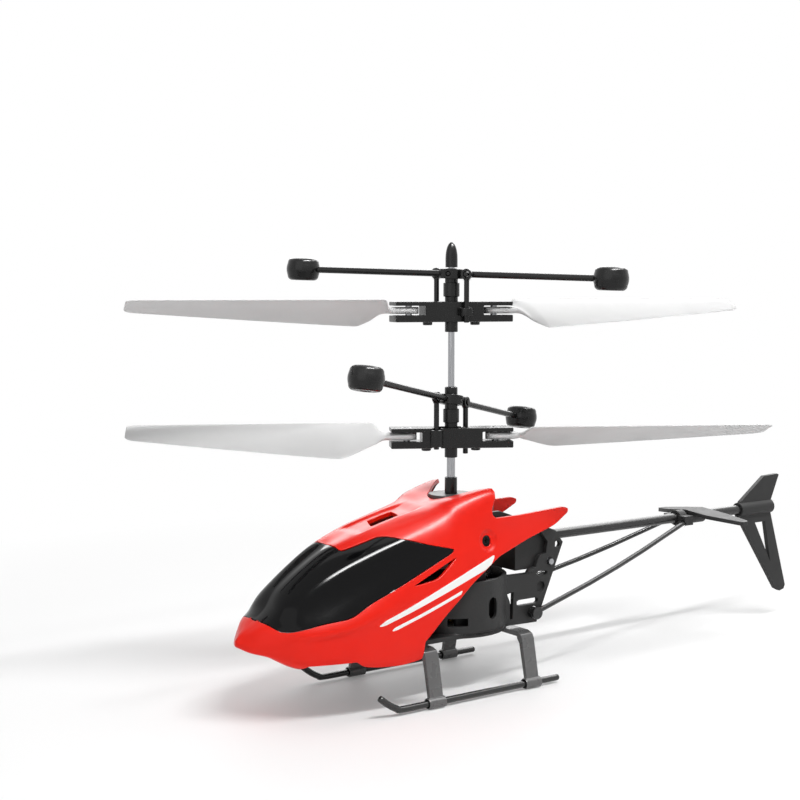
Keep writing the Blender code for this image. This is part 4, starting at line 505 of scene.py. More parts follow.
# Lengths along and round the form, so that the flat net has even cells
fine_t = np.linspace(0, ROWS - 1, FINE)
fine_q = np.linspace(0, COLUMNS, FINE)
run_t = skin(fine_t, np.full_like(fine_t, SIDE_COLUMN))
run_q = skin(np.full_like(fine_q, MIDDLE_ROW), fine_q)
length_t = np.concatenate([[0], np.cumsum(np.linalg.norm(np.diff(run_t, axis=0), axis=1))])
length_q = np.concatenate([[0], np.cumsum(np.linalg.norm(np.diff(run_q, axis=0), axis=1))])


def to_net(tq):
    """Points of the form on the flat net."""
    return np.stack([np.interp(tq[:, 0], fine_t, length_t), np.interp(tq[:, 1], fine_q, length_q)], -1)


def from_net(ab):
    """Points of the flat net on the form."""
    return np.stack([np.interp(ab[:, 0], length_t, fine_t), np.interp(ab[:, 1], length_q, fine_q)], -1)


def search_tree(points):
    """A tree that finds the nearest of many flat points."""
    tree = KDTree(len(points))
    for i, (u, v) in enumerate(points):
        tree.insert((u, v, 0.0), i)
    tree.balance()
    return tree


def locate(targets, axes, low_q, high_q):
    """Where on the form points seen along one axis lie: nearest sample first, then a few Newton steps."""
    t, q = np.meshgrid(np.linspace(0.4, ROWS - 1, SAMPLES[0]), np.linspace(low_q, high_q, SAMPLES[1]),
                       indexing="ij")
    t, q = t.ravel(), q.ravel()
    tree = search_tree(skin(t, q)[:, axes])
    found = [tree.find((u, v, 0.0))[1] for u, v in targets]
    t, q = t[found].copy(), q[found].copy()
    step = 1e-3
    for _ in range(6):
        miss = np.asarray(targets) - skin(t, q)[:, axes]
        by_t = (skin(t + step, q) - skin(t - step, q))[:, axes] / (2 * step)
        by_q = (skin(t, q + step) - skin(t, q - step))[:, axes] / (2 * step)
        det = by_t[:, 0] * by_q[:, 1] - by_t[:, 1] * by_q[:, 0]
        det = np.where(np.abs(det) < 1e-6, 1e9, det)
        t = t + np.clip((miss[:, 0] * by_q[:, 1] - miss[:, 1] * by_q[:, 0]) / det, -0.2, 0.2)
        q = q + np.clip((by_t[:, 0] * miss[:, 1] - by_t[:, 1] * miss[:, 0]) / det, -0.2, 0.2)
        q = np.clip(q, low_q, high_q)
        t = np.clip(t, 0.0, ROWS - 1)
    return np.stack([t, q], -1)


def softened(points, small, closed=True):
    """An outline with round corners: a small radius at sharp corners, and long curves at gentle ones."""
    points = [Vector(p) for p in points]
    line = []
    for i, here in enumerate(points):
        if not closed and i in (0, len(points) - 1):
            line.append(here)
            continue
        before, after = points[i - 1], points[(i + 1) % len(points)]
        back, ahead = before - here, after - here
        bend = math.pi - back.angle(ahead, math.pi)
        room = 0.45 * min(back.length, ahead.length)
        away = min(room, small * math.tan(bend / 2) if bend > 0.6 else GENTLE)
        start, end = here + back.normalized() * away, here + ahead.normalized() * away
        line += [start.lerp(here, s).lerp(here.lerp(end, s), s) for s in (0.0, 0.25, 0.5, 0.75, 1.0)]
    return [tuple(p) for p in line]


def moved(points, distance):
    """An outline moved outwards, for points that run anticlockwise."""
    points = [Vector(p) for p in points]
    result = []
    for i, here in enumerate(points):
        first = (here - points[i - 1]).normalized()
        second = (points[(i + 1) % len(points)] - here).normalized()
        out = Vector((first.y + second.y, -first.x - second.x)).normalized()
        result.append(tuple(here + out * distance / max(out.dot(Vector((first.y, -first.x))), 0.4)))
    return result


def spaced(points, step, closed=True):
    """The outline again with points no further apart than a step."""
    line = []
    pairs = list(zip(points, points[1:] + points[:1])) if closed else list(zip(points, points[1:]))
    for a, b in pairs:
        a, b = Vector(a), Vector(b)
        count = max(1, math.ceil((b - a).length / step))
        line += [tuple(a.lerp(b, i / count)) for i in range(count)]
    if not closed:
        line.append(tuple(points[-1]))
    return line


def inside(outline, points):
    """Which of the points lie inside a closed outline."""
    u, v = points[:, 0], points[:, 1]
    result = np.zeros(len(points), bool)
    for (a, b), (c, d) in zip(outline, outline[1:] + outline[:1]):
        crosses = (b > v) != (d > v)
        with np.errstate(divide="ignore", invalid="ignore"):
            result ^= crosses & (u < (c - a) * (v - b) / (d - b) + a)
    return result


SIDE_AXES, TOP_AXES = [1, 2], [0, 1]
side_edge = moved(softened(SIDE_EDGE, SIDE_CORNER), -RIM_ROUND)
window_hole = moved(softened(WINDOW_EDGE, WINDOW_CORNER), SEAM_ROUND)
window_pane = moved(softened(WINDOW_EDGE, WINDOW_CORNER), -SEAM - SEAM_ROUND)
vent_edge = softened(VENT_EDGE, VENT_CORNER)[::-1]
notch_arc = [(MAST_NOTCH * math.cos(a), MAST_NOTCH * math.sin(a))
             for a in np.radians(np.linspace(-130, -50, 13))]
notch_line = [(-EAR_TIP[0], EAR_TIP[1]), *notch_arc, EAR_TIP]
notch_edge = [*notch_line, (EAR_TIP[0], 40.0), (-EAR_TIP[0], 40.0)]
slot_edge = softened(SLOT_EDGE, SLOT_CORNER)
screw_edge = [(SCREW_PLACE[0] + SCREW_HOLE * math.cos(a), SCREW_PLACE[1] + SCREW_HOLE * math.sin(a))
              for a in turns(28)]
STRIPES = (
    ((2.6, 33.9), (-31.0, 22.4), (-33.0, 21.2), (-31.5, 21.2), (0.6, 31.0)),
    ((-8.6, 26.6), (-28.6, 20.4), (-29.4, 19.7), (-28.4, 19.7), (-9.2, 25.7)),
)
stripe_edges = [softened(s, STRIPE_CORNER) for s in STRIPES]

cells, lines = [], []


def draw(points, closed):
    """Adds a line to the flat net as edges that the triangles have to follow."""
    start = len(cells)
    cells.extend(to_net(np.asarray(points)))
    ends = range(start, len(cells))
    lines.extend(zip(ends, ends[1:]))
    if closed:
        lines.append((len(cells) - 1, start))


def other_side(tq):
    """The same points on the other half of the form."""
    return np.stack([tq[:, 0], COLUMNS - tq[:, 1]], -1)


def draw_both(points, closed):
    """Adds a line on both halves."""
    draw(points, closed)
    draw(other_side(points), closed)


def over_skin(outline, step):
    """The part of a side outline that lies on the form's side, as points of the form."""
    line = np.array(spaced(outline, step))
    found = locate(line, SIDE_AXES, 0.0, CROWN)
    miss = np.linalg.norm(skin(found[:, 0], found[:, 1])[:, SIDE_AXES] - line, axis=1)
    return found, miss < 0.02


for outline in (side_edge, window_hole, window_pane, vent_edge, screw_edge, *stripe_edges):
    found, fits = over_skin(outline, LINE_STEP)
    runs, run = [], []
    for place, ok in zip(np.vstack([found, found]), np.concatenate([fits, fits])):
        if ok:
            run.append(place)
        elif run:
            runs.append(run)
            run = []
    if fits.all():
        draw_both(found, True)
    else:
        longest = max(runs, key=len)
        if outline is side_edge:
            longest = [np.array([longest[0][0], 0.0]), *longest]
            draw_both(np.array(longest), False)
        else:
            first = np.array([longest[0][0], CROWN])
            last = np.array([longest[-1][0], CROWN])
            draw_both(np.array([first, *longest, last]), False)
draw(locate(spaced(notch_line, LINE_STEP, False), TOP_AXES, *TOP_COLUMNS), False)
draw(locate(spaced(slot_edge, SLOT_STEP), TOP_AXES, *SLOT_COLUMNS), True)
crest_rows = np.arange(CREST_ROWS[0], CREST_ROWS[3], CREST_STEP)
for shift in CREST_LINES:
    draw_both(np.stack([crest_rows, np.full_like(crest_rows, CREST_Q + shift)], -1), False)
for x in [s * v for s in (-1, 1) for v in np.linspace(*CHANNEL_X, 5)]:
    channel_line = [(x, y) for y in np.arange(CHANNEL_Y[0], CHANNEL_Y[3], LINE_STEP)]
    draw(locate(channel_line, TOP_AXES, *TOP_COLUMNS), False)
for ring in SEAT_RINGS:
    circle = [(SCREW_PLACE[0] + ring * math.cos(a), SCREW_PLACE[1] + ring * math.sin(a))
              for a in turns(30)]
    found = locate(circle, SIDE_AXES, 0.0, CROWN)
    cells.extend(to_net(found))
    cells.extend(to_net(other_side(found)))

drawn = search_tree(cells)
wide, tall = length_t[-1], length_q[-1]
for a in np.linspace(0, wide, int(wide / SKIN_STEP) + 1):
    for end in (0.0, tall):
        cells.append(np.array((a, end)))
rows_of_cells = int(tall / SKIN_STEP)
for row in range(1, rows_of_cells):
    b = tall * row / rows_of_cells
    for a in np.arange(0.5 * SKIN_STEP * (row % 2), wide, SKIN_STEP):
        if drawn.find((a, b, 0.0))[2] > 0.55 * SKIN_STEP:
            cells.append(np.array((a, b)))
flat, _, triangles, *_ = delaunay_2d_cdt([Vector(c) for c in cells], lines, [], 0, 1e-4)
flat = np.array([tuple(v) for v in flat])
triangles = np.array([t for t in triangles if len(t) == 3])
form_tq = from_net(flat)
form = skin(form_tq[:, 0], form_tq[:, 1])
form_normals = skin_normals(form_tq[:, 0], form_tq[:, 1])
middle_tq = form_tq[triangles].mean(1)
middle = skin(middle_tq[:, 0], middle_tq[:, 1])
seen_side, seen_top = middle[:, SIDE_AXES], middle[:, TOP_AXES]
in_shell = inside(side_edge, seen_side) & ~inside(window_hole, seen_side) & ~inside(vent_edge, seen_side)
in_shell &= ~inside(screw_edge, seen_side)
in_shell &= ~(inside(notch_edge, seen_top) & (middle[:, 2] > NOTCH_Z))
in_shell &= ~(inside(slot_edge, seen_top) & (middle[:, 2] > SLOT_Z))
in_pane = inside(window_pane, seen_side)


def ramp(value, start, end):
    """A soft step from nought to one, and its slope."""
    share = np.clip((value - start) / (end - start), 0, 1)
    return share * share * (3 - 2 * share), 6 * share * (1 - share) / (end - start)


# The crest along the window, on each side, which catches the long streak of light
half_q = np.minimum(form_tq[:, 1], COLUMNS - form_tq[:, 1])
ahead = skin(form_tq[:, 0], form_tq[:, 1] + 0.01) - skin(form_tq[:, 0], form_tq[:, 1] - 0.01)
per_q = np.linalg.norm(ahead, axis=1) / 0.02
ahead /= np.maximum(np.linalg.norm(ahead, axis=1), 1e-9)[:, None]
ahead[form_tq[:, 1] > CROWN] *= -1
below = (half_q - CREST_Q) * per_q
off = np.minimum((np.sqrt(below ** 2 + CREST_ROUND ** 2) - CREST_ROUND) / CREST_WIDTH, 1.0)
strength = ramp(form_tq[:, 0], *CREST_ROWS[:2])[0] * ramp(-form_tq[:, 0], -CREST_ROWS[3], -CREST_ROWS[2])[0]
lean = -2 * (1 - off) * below / np.sqrt(below ** 2 + CREST_ROUND ** 2) / CREST_WIDTH
form += form_normals * (CREST_RISE * strength * (1 - off) ** 2)[:, None]
form_normals -= ahead * (CREST_RISE * strength * lean)[:, None]
form_normals = unit(form_normals)

# The sunk channel along the tongue, between two crests that run on into the ears
on_top = form[:, 2] > TOP_Z
across, by_x = ramp(-np.abs(form[:, 0]), -CHANNEL_X[1], -CHANNEL_X[0])
enter, enter_slope = ramp(form[:, 1], *CHANNEL_Y[:2])
leave, leave_slope = ramp(-form[:, 1], -CHANNEL_Y[3], -CHANNEL_Y[2])
sink = CHANNEL_DEPTH * across * enter * leave * on_top
tilt_x = -CHANNEL_DEPTH * by_x * np.sign(form[:, 0]) * enter * leave * on_top
tilt_y = CHANNEL_DEPTH * across * (enter_slope * leave - enter * leave_slope) * on_top
form[:, 2] -= sink
form_normals += np.stack([tilt_x, tilt_y, np.zeros_like(tilt_x)], -1) * form_normals[:, 2:3]
form_normals = unit(form_normals)

# The dished seat round each screw hole
hole = np.array((0.0, *SCREW_PLACE))
away = form - hole
away[:, 0] = 0.0
distance = np.linalg.norm(away, axis=1)
seat, seat_slope = ramp(-distance, -RECESS_RADIUS, -SCREW_HOLE)
near_hole = (distance < RECESS_RADIUS) & (np.abs(form[:, 0]) > SEAT_X)
dish = np.where(near_hole, RECESS_DEPTH * seat, 0.0)
slope = np.where(near_hole, RECESS_DEPTH * seat_slope, 0.0)
form = form - form_normals * dish[:, None]
out = away / np.maximum(distance, 1e-6)[:, None]
dished_normals = unit(form_normals - out * slope[:, None])


def walled(chosen, wall, rounds, lift=0.0):
    """A closed thin wall over the chosen triangles: outer and inner skin, and a round rim between them."""
    used, index = np.unique(triangles[chosen], return_inverse=True)
    _, same, back = np.unique(np.round(form[used], 4), axis=0, return_index=True, return_inverse=True)
    faces = back.ravel()[index.reshape(-1, 3)]
    used = used[same]
    faces = faces[(faces[:, 0] != faces[:, 1]) & (faces[:, 1] != faces[:, 2]) & (faces[:, 2] != faces[:, 0])]
    normals = dished_normals[used]
    points = form[used] + normals * lift
    across = np.cross(points[faces[:, 1]] - points[faces[:, 0]], points[faces[:, 2]] - points[faces[:, 0]])
    turned_in = (across * normals[faces].mean(1)).sum(1) < 0
    faces[turned_in] = faces[turned_in][:, ::-1]
    thickness = np.full(len(used), wall)
    thin = np.clip((form_tq[used, 0] - NOSE_ROW) / NOSE_ROWS, 0, 1)
    if wall > NOSE_WALL:
        thickness = np.minimum(thickness, NOSE_WALL + (wall - NOSE_WALL) * thin)
    thickness = thickness - dish[used]
    inner = points - normals * thickness[:, None]
    edges = {}
    for face in faces.tolist():
        for a, b in zip(face, face[1:] + face[:1]):
            edges[(a, b)] = edges.get((a, b), 0) + 1
    rim = [(a, b) for a, b in edges if (b, a) not in edges]
    outward = np.zeros_like(points)
    for a, b in rim:
        run = points[b] - points[a]
        for end in (a, b):
            outward[end] += np.cross(run / np.linalg.norm(run), normals[end])
    count = len(points)
    verts, vectors = [*points, *inner], [*normals, *-normals]
    all_faces = [tuple(f) for f in faces.tolist()] + [tuple(f[::-1] + count) for f in faces]
    rings = {}
    for i in sorted({i for pair in rim for i in pair}):
        n, o = normals[i], outward[i] / max(np.linalg.norm(outward[i]), 1e-9)
        r = min(rounds(i, used), 0.45 * thickness[i])
        top, foot = points[i] - n * r, inner[i] + n * r
        ring = [i]
        for centre, angles in ((top, (30, 60, 90)), (foot, (90, 120, 150))):
            for angle in np.radians(angles):
                facing = n * math.cos(angle) + o * math.sin(angle)
                ring.append(len(verts))
                verts.append(centre + facing * r)
                vectors.append(facing)
        rings[i] = [*ring, i + count]
    for a, b in rim:
        for k in range(len(rings[a]) - 1):
            all_faces.append((rings[b][k], rings[a][k], rings[a][k + 1], rings[b][k + 1]))
    return blank(verts, all_faces, vectors)


window_line = search_tree(spaced(window_hole, 0.3))


def rim_rounds(i, used):
    """The shell's edge is sharper along the window's seam than round its rims."""
    y, z = form[used[i]][1:]
    return SEAM_ROUND if window_line.find((y, z, 0.0))[2] < SEAM_NEAR else RIM_ROUND


# Gloss ABS: broad soft highlights with a faint orange-peel swell about 2.6 mm across.
canopy_abs = moulded("red_abs_gloss", "#DE1505", "#EA200B", 14.0, (0.28, 0.34), 2.6, 0.003, 0.2)
# Tinted acrylic: almost black, with a harder and smoother gloss than the shell.
window_acrylic = moulded("black_acrylic_gloss", "#060607", "#0A0A0B", 12.0, (0.07, 0.1), 3.0, 0.002, 0.13)
piece("canopy_shell_finished", walled(in_shell, SHELL_WALL, rim_rounds), "airframe", canopy_abs,
      "red_gloss_plastic", "canopy_shell")
piece("canopy_window_finished", walled(in_pane, SHELL_WALL, lambda i, used: SEAM_ROUND), "airframe",
      window_acrylic, "black_window", "canopy_window")

# Stripes: two white bands printed on each side of the canopy, a broad taper and a thin line under it.
# The ink lies on the gloss as a thin film with its own softer sheen.
INK = 0.05
# Pad-print ink: an even white that covers the red and shines less.
stripe_ink = moulded("white_pad_print", "#E9E9E6", "#F4F4F2", 5.0, (0.28, 0.38), 0.6, 0.006)
for name, side in (("left", 1), ("right", -1)):
    printed = np.zeros(len(triangles), bool)
    for outline in stripe_edges:
        printed |= inside(outline, seen_side) & (middle[:, 0] * side > 0) & in_shell
    mesh = walled(printed, 2 * INK, lambda i, used: INK / 2, INK)
    piece(f"canopy_stripes_{name}", mesh, "airframe", stripe_ink, "white_blade_plastic")

# Canopy screws: two small blackened steel screws that hold the shell to the bosses of the frame plates.
# They are cold headed with a cross recess; the black oxide leaves only a dull gleam in the dished seat.
SCREW_HEAD, SCREW_SHANK, SCREW_SHARP = (1.2, 0.6), 0.6, 30.0
HEAD_SIDES, SHANK_SIDES = 32, 24
HEAD_LIFT, SHANK_DROP = 0.5, -0.48
CROSS_SIZE = (1.3, 0.28)


def screw_tree():
    """Nodes that put one cross-recessed screw on every point, turned to the point's aim."""
    tree, given = started_tree("cross_screws", "Head Radius", "Head Height", "Shank Radius", "Shank Length")
    bodies = []
    for radius, depth, sides, share in (("Head Radius", "Head Height", HEAD_SIDES, HEAD_LIFT),
                                        ("Shank Radius", "Shank Length", SHANK_SIDES, SHANK_DROP)):
        bar = node(tree, "GeometryNodeMeshCylinder", {"Vertices": sides, "Radius": given[radius],
                                                      "Depth": given[depth]})
        height = node(tree, "ShaderNodeMath", {0: given[depth], 1: share}, operation="MULTIPLY")
        shift = node(tree, "ShaderNodeCombineXYZ", {"Z": height.outputs[0]})
        bodies.append(node(tree, "GeometryNodeTransform", {"Geometry": bar.outputs["Mesh"],
                                                           "Translation": shift.outputs[0]}))
    long, thin = [node(tree, "ShaderNodeMath", {0: given["Head Radius"], 1: share}, operation="MULTIPLY")
                  for share in CROSS_SIZE]
    bars = []
    for sides in ((long, thin), (thin, long)):
        size = node(tree, "ShaderNodeCombineXYZ", {"X": sides[0].outputs[0], "Y": sides[1].outputs[0],
                                                   "Z": given["Head Height"]})
        bar = node(tree, "GeometryNodeMeshCube", {"Size": size.outputs[0]})
        top = node(tree, "ShaderNodeCombineXYZ", {"Z": given["Head Height"]})
        bars.append(node(tree, "GeometryNodeTransform", {"Geometry": bar.outputs["Mesh"],
                                                         "Translation": top.outputs[0]}))
    cross = node(tree, "GeometryNodeMeshBoolean", operation="UNION")
    body = node(tree, "GeometryNodeMeshBoolean", operation="UNION")
    for part in bars:
        tree.links.new(part.outputs[0], cross.inputs["Mesh 2"])
    for part in bodies:
        tree.links.new(part.outputs[0], body.inputs["Mesh 2"])
    screw = node(tree, "GeometryNodeMeshBoolean", {"Mesh 1": body.outputs["Mesh"]}, operation="DIFFERENCE")
    tree.links.new(cross.outputs["Mesh"], screw.inputs["Mesh 2"])
    aim = node(tree, "GeometryNodeInputNamedAttribute", {"Name": "aim"}, data_type="FLOAT_VECTOR")
    turn = node(tree, "FunctionNodeAlignRotationToVector", {"Vector": aim.outputs[0]}, axis="Z")
    return ended_tree(tree, given["Geometry"], screw.outputs["Mesh"], turn.outputs[0], given["Finish"])


SCREWS = screw_tree()


def screws(places, aims, head, shank, material):
    """Screws at places in millimetres from the mast, each aimed along its own head."""
    base = blank(places, [])
    aim = base.attributes.new("aim", "FLOAT_VECTOR", "POINT")
    aim.data.foreach_set("vector", np.asarray(aims, float).ravel())
    sizes = {"Head Radius": head[0] * MM, "Head Height": head[1] * MM, "Shank Radius": shank[0] * MM,
             "Shank Length": shank[1] * MM, "Finish": material}
    return grown(base, SCREWS, sizes, SCREW_SHARP)


# Black oxide: dark and dull, with just enough gleam to show the edge of the recess.
black_oxide = metal("black_oxide_steel", "#1B1B1B", "#2C2C2C", (0.34, 0.48), 0.3, (1.0, 1.0, 1.0))
low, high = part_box("canopy_screw_left")
head_x = (high.x - MAST.x) / MM - SCREW_HEAD[1]
reach = head_x - (low.x - MAST.x) / MM
places, aims = zip(*[((side * head_x, *SCREW_PLACE), (side, 0, 0)) for side in (1, -1)])
mesh = screws(places, aims, SCREW_HEAD, (SCREW_SHANK, reach), black_oxide)
piece("canopy_screws", mesh, "airframe", black_oxide, "bright_steel", "canopy_screw_left",
      "canopy_screw_right")

# Rotor heads: hubs on the shafts, rocking yokes with forks for the blades, stabilizer bars and push rods.
# All are moulded in gloss black nylon; cross-headed steel bolts hold the blades in the forks, and the
# weights are turned pucks, barrel-shaped and pushed onto the ends of the bars.
BOLT_HEAD, BOLT_SHANK = (1.4, 0.35), 0.8
WEIGHT_RADIUS, WEIGHT_HEIGHT, WEIGHT_ROUND, WEIGHT_BULGE = 4.25, 5.6, 1.2, 0.3
# Each bar's height, its turn about the mast and its tilt
BARS = {
    "lower": (70.6, 113.4, 10.6),
    "upper": (101.7, 35.5, 1.9),
}
WEIGHT_X, WEIGHT_SIDES, WEIGHT_SHARP = 39.6, 48, 50.0
DIMPLE = (1.0, 1.35, 0.25)
HEAD_EDGE, YOKE_EDGE, CAP_SHARP = 0.15, 0.22, 60.0


def weight(rotor, letter):
    """One puck, turned about the bar's upright axis."""
    height, angle, tilt = BARS[rotor]
    side = 1 if letter == "a" else -1
    frame_of_bar = Matrix.Translation((0, 0, height)) @ Matrix.Rotation(math.radians(angle), 4, "Z")
    frame_of_bar = frame_of_bar @ Matrix.Rotation(math.radians(tilt), 4, "Y")
    frame_of_bar = frame_of_bar @ Matrix.Translation((side * WEIGHT_X, 0, 0))
    half, ease = WEIGHT_HEIGHT / 2, WEIGHT_ROUND
    edge = WEIGHT_RADIUS - WEIGHT_BULGE
    corner = [(edge - ease + ease * math.sin(a), half - ease + ease * math.cos(a))
              for a in np.radians(range(0, 91, 15))]
    belly = [(edge + WEIGHT_BULGE * math.cos(s * math.pi / 2), s * (half - ease)) for s in (0.66, 0.33, 0.0)]
    upper = [(DIMPLE[0], half - DIMPLE[2]), (DIMPLE[1], half), *corner, *belly]
    profile = upper + [(r, -z) for r, z in reversed(upper[:-1])]
    mesh = joined([[frame_of_bar @ Vector((r * math.cos(a), r * math.sin(a), z)) for a in turns(WEIGHT_SIDES)]
                   for r, z in profile])
    mesh.set_sharp_from_angle(angle=math.radians(WEIGHT_SHARP))
    return mesh


for rotor in ("lower", "upper"):
    dress(f"{rotor}_hub", f"{rotor}_rotor", gloss_nylon, "black_rotor_plastic", HEAD_EDGE)
    dress(f"{rotor}_yoke", f"{rotor}_yoke", gloss_nylon, "black_rotor_plastic", YOKE_EDGE)
    dress(f"{rotor}_flybar", f"{rotor}_flybar", gloss_nylon, "black_rotor_plastic", HEAD_EDGE)
    for letter in "ab":
        link = f"{rotor}_link_{letter}"
        dress(link, link, gloss_nylon, "black_rotor_plastic", HEAD_EDGE)
        piece(f"{rotor}_weight_{letter}_finished", weight(rotor, letter), f"{rotor}_flybar", gloss_nylon,
              "black_rotor_plastic", f"{rotor}_weight_{letter}")
    boxes = [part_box(f"{rotor}_bolt_{letter}") for letter in "ab"]
    places = [((low + high) / 2 - MAST) / MM for low, high in boxes]
    foot, crown = boxes[0][0].z / MM, boxes[0][1].z / MM
    places = [(p.x, p.y, crown - BOLT_HEAD[1]) for p in places]
    mesh = screws(places, [(0, 0, 1)] * 2, BOLT_HEAD, (BOLT_SHANK, crown - BOLT_HEAD[1] - foot), drawn_steel)
    piece(f"{rotor}_bolts", mesh, f"{rotor}_yoke", drawn_steel, "bright_steel", f"{rotor}_bolt_a",
          f"{rotor}_bolt_b")
dress("mast_cap", "upper_rotor", gloss_nylon, "black_rotor_plastic", 0.0, CAP_SHARP)

# Blades: four white moulded blades, flat at the root and twisted to their pitch.
# They are thin and springy, and one steel bolt through the root holds each in its fork.
# Satin plastic: an even off-white with hardly any gloss.
blade_plastic = moulded("white_blade_satin", "#C0C0C0", "#CCCCCC", 10.0, (0.4, 0.48), 1.5, 0.002, 0.08)
# Each rotor's blade height, its turn about the mast, its hand and where its blades are broadest
ROTOR = {
    "lower": (61.65, 60.8, -1, 28.6),
    "upper": (92.75, 72.0, 1, 21.2),
}
BLADE_BOLT_X, BLADE_HOLE, ROOT_HALF, ROOT_THICK = 11.1, 0.9, 2.5, 1.7
NECK_X, LEAD_FULL_X, TIP_X, TIP_ROUND = 16.2, 19.4, 80.0, 2.4
BLADE_LEAD, BLADE_TRAIL, TIP_TRAIL, BLADE_THICK, CAMBER, PITCH = 8.0, 12.6, 0.5, 0.9, 0.8, 19.0
THIN_X, THIN_RUN, TIP_THIN, TIP_SHRINK, TAPER = 15.4, 3.2, 0.45, 0.24, 1.08
FLARE_SOFT, PITCH_EARLY, FULLNESS = 0.6, 0.4, 6
SECTION_STEPS, BLADE_SHARP = 14, 50.0


def soft(share):
    """A soft step from nought to one, without its slope."""
    return ramp(share, 0.0, 1.0)[0]


def blade_section(x, full):
    """A closed section of the blade: leading edge over the top to the trailing edge and back below."""
    if x < BLADE_BOLT_X:
        lead = trail = math.sqrt(max(ROOT_HALF ** 2 - (BLADE_BOLT_X - x) ** 2, 0.0))
    else:
        lead = ROOT_HALF + (BLADE_LEAD - ROOT_HALF) * soft((x - NECK_X) / (LEAD_FULL_X - NECK_X))
        flare = min(max((x - NECK_X) / (full - NECK_X), 0.0), 1.0)
        out = max(0.0, (x - full) / (TIP_X - full))
        trail = ROOT_HALF + (BLADE_TRAIL - ROOT_HALF) * ((1 - FLARE_SOFT) * flare + FLARE_SOFT * soft(flare))
        trail += (TIP_TRAIL - BLADE_TRAIL) * out ** TAPER
    end = max(0.0, 1 - (TIP_X - x) / TIP_ROUND)
    shrink = (lead + trail) * TIP_SHRINK * (1 - math.sqrt(max(0.0, 1 - end * end)))
    lead, trail = lead - shrink * 0.5, trail - shrink
    pitch = math.radians(PITCH) * soft((x - NECK_X + PITCH_EARLY) / (LEAD_FULL_X - NECK_X))
    bow = CAMBER * soft((x - NECK_X) / (full - NECK_X)) * (lead + trail) / (BLADE_LEAD + BLADE_TRAIL)
    half = ROOT_THICK / 2 + (BLADE_THICK - ROOT_THICK) / 2 * soft((x - THIN_X) / THIN_RUN)
    half *= 1 - TIP_THIN * soft((x - full) / (TIP_X - full))
    shares = [0.5 - 0.5 * math.cos(math.pi * i / SECTION_STEPS) for i in range(SECTION_STEPS + 1)]
    loop = []
    for side, part in ((1, shares), (-1, shares[-2:0:-1])):
        for share in part:
            across = lead - (lead + trail) * share
            rise = bow * 4 * share * (1 - share) + side * half * math.sqrt(1 - abs(2 * share - 1) ** FULLNESS)
            loop.append((x, across * math.cos(pitch) - rise * math.sin(pitch),
                         across * math.sin(pitch) + rise * math.cos(pitch)))
    return loop


def blade(rotor, letter):
    """One blade, drilled for its bolt and set in its fork."""
    height, angle, turn, full = ROTOR[rotor]
    stations = [BLADE_BOLT_X - ROOT_HALF * math.cos(a) for a in np.radians((12, 24, 38, 54, 72))]
    stations += list(np.linspace(BLADE_BOLT_X, NECK_X, 7)) + list(np.linspace(NECK_X, full + 2, 22)[1:])
    stations += list(np.linspace(full + 2, TIP_X - TIP_ROUND, 14)[1:])
    stations += [TIP_X - TIP_ROUND * s for s in (0.7, 0.45, 0.25, 0.1, 0.03)]
    bm = bmesh.new()
    rings = [[bm.verts.new((x, turn * y, z)) for x, y, z in blade_section(x, full)] for x in stations]
    for near, far in zip(rings, rings[1:]):
        for i in range(len(near)):
            j = (i + 1) % len(near)
            bm.faces.new((near[i], near[j], far[j], far[i]))
    bm.faces.new(rings[0])
    bm.faces.new(rings[-1])
    bmesh.ops.recalc_face_normals(bm, faces=bm.faces)
    body = bpy.data.meshes.new("blade")
    bm.to_mesh(body)
    bm.clear()
    bmesh.ops.create_cone(bm, segments=32, radius1=BLADE_HOLE, radius2=BLADE_HOLE, depth=6.0, cap_ends=True)
    bmesh.ops.translate(bm, verts=bm.verts, vec=(BLADE_BOLT_X, 0, 0))
    drill = bpy.data.meshes.new("drill")
    bm.to_mesh(drill)
    bm.free()
    solid, bit = bpy.data.objects.new("blade", body), bpy.data.objects.new("drill", drill)
    for obj in (solid, bit):
        bpy.context.scene.collection.objects.link(obj)
    cut = solid.modifiers.new("hole", "BOOLEAN")
    cut.operation, cut.solver, cut.object = "DIFFERENCE", "EXACT", bit
    mesh = bpy.data.meshes.new_from_object(solid.evaluated_get(bpy.context.evaluated_depsgraph_get()))
    bpy.data.objects.remove(solid)
    bpy.data.objects.remove(bit)
    spin = math.radians(angle + (180 if letter == "b" else 0))
    mesh.transform(Matrix.Translation(MAST + Vector((0, 0, height * MM))) @ Matrix.Rotation(spin, 4, "Z")
                   @ Matrix.Scale(MM, 4))
    mesh.polygons.foreach_set("use_smooth", [True] * len(mesh.polygons))
    mesh.set_sharp_from_angle(angle=math.radians(BLADE_SHARP))
    return mesh


for rotor in ("lower", "upper"):
    for letter in "ab":
        name = f"{rotor}_blade_{letter}"
        piece(f"{name}_finished", blade(rotor, letter), name, blade_plastic, "white_blade_plastic", name)

# Studio: a pale floor that fades to white, soft lamps and the camera at the photograph's angle.
# The floor is seamless paper under the skids; the panels only add gloss and leave the colours as they are.
FLOOR_SIZE, FLOOR_DROP = 3.0, 0.0002
FADE_NEAR, FADE_FAR, FADE_LEAST = 0.08, 0.26, 0.15
WORLD_LIGHT, WORLD_SEEN = 0.35, 1.0
LAMP_AIM = Vector((0, 0, 0.04))
LENS, SENSOR, CLIP_START = 63.6, 36.0, 0.01
CAMERA_PLACE, CAMERA_PITCH, CAMERA_YAW = Vector((277.8, -212.0, 97.6)), -4.43, 54.73


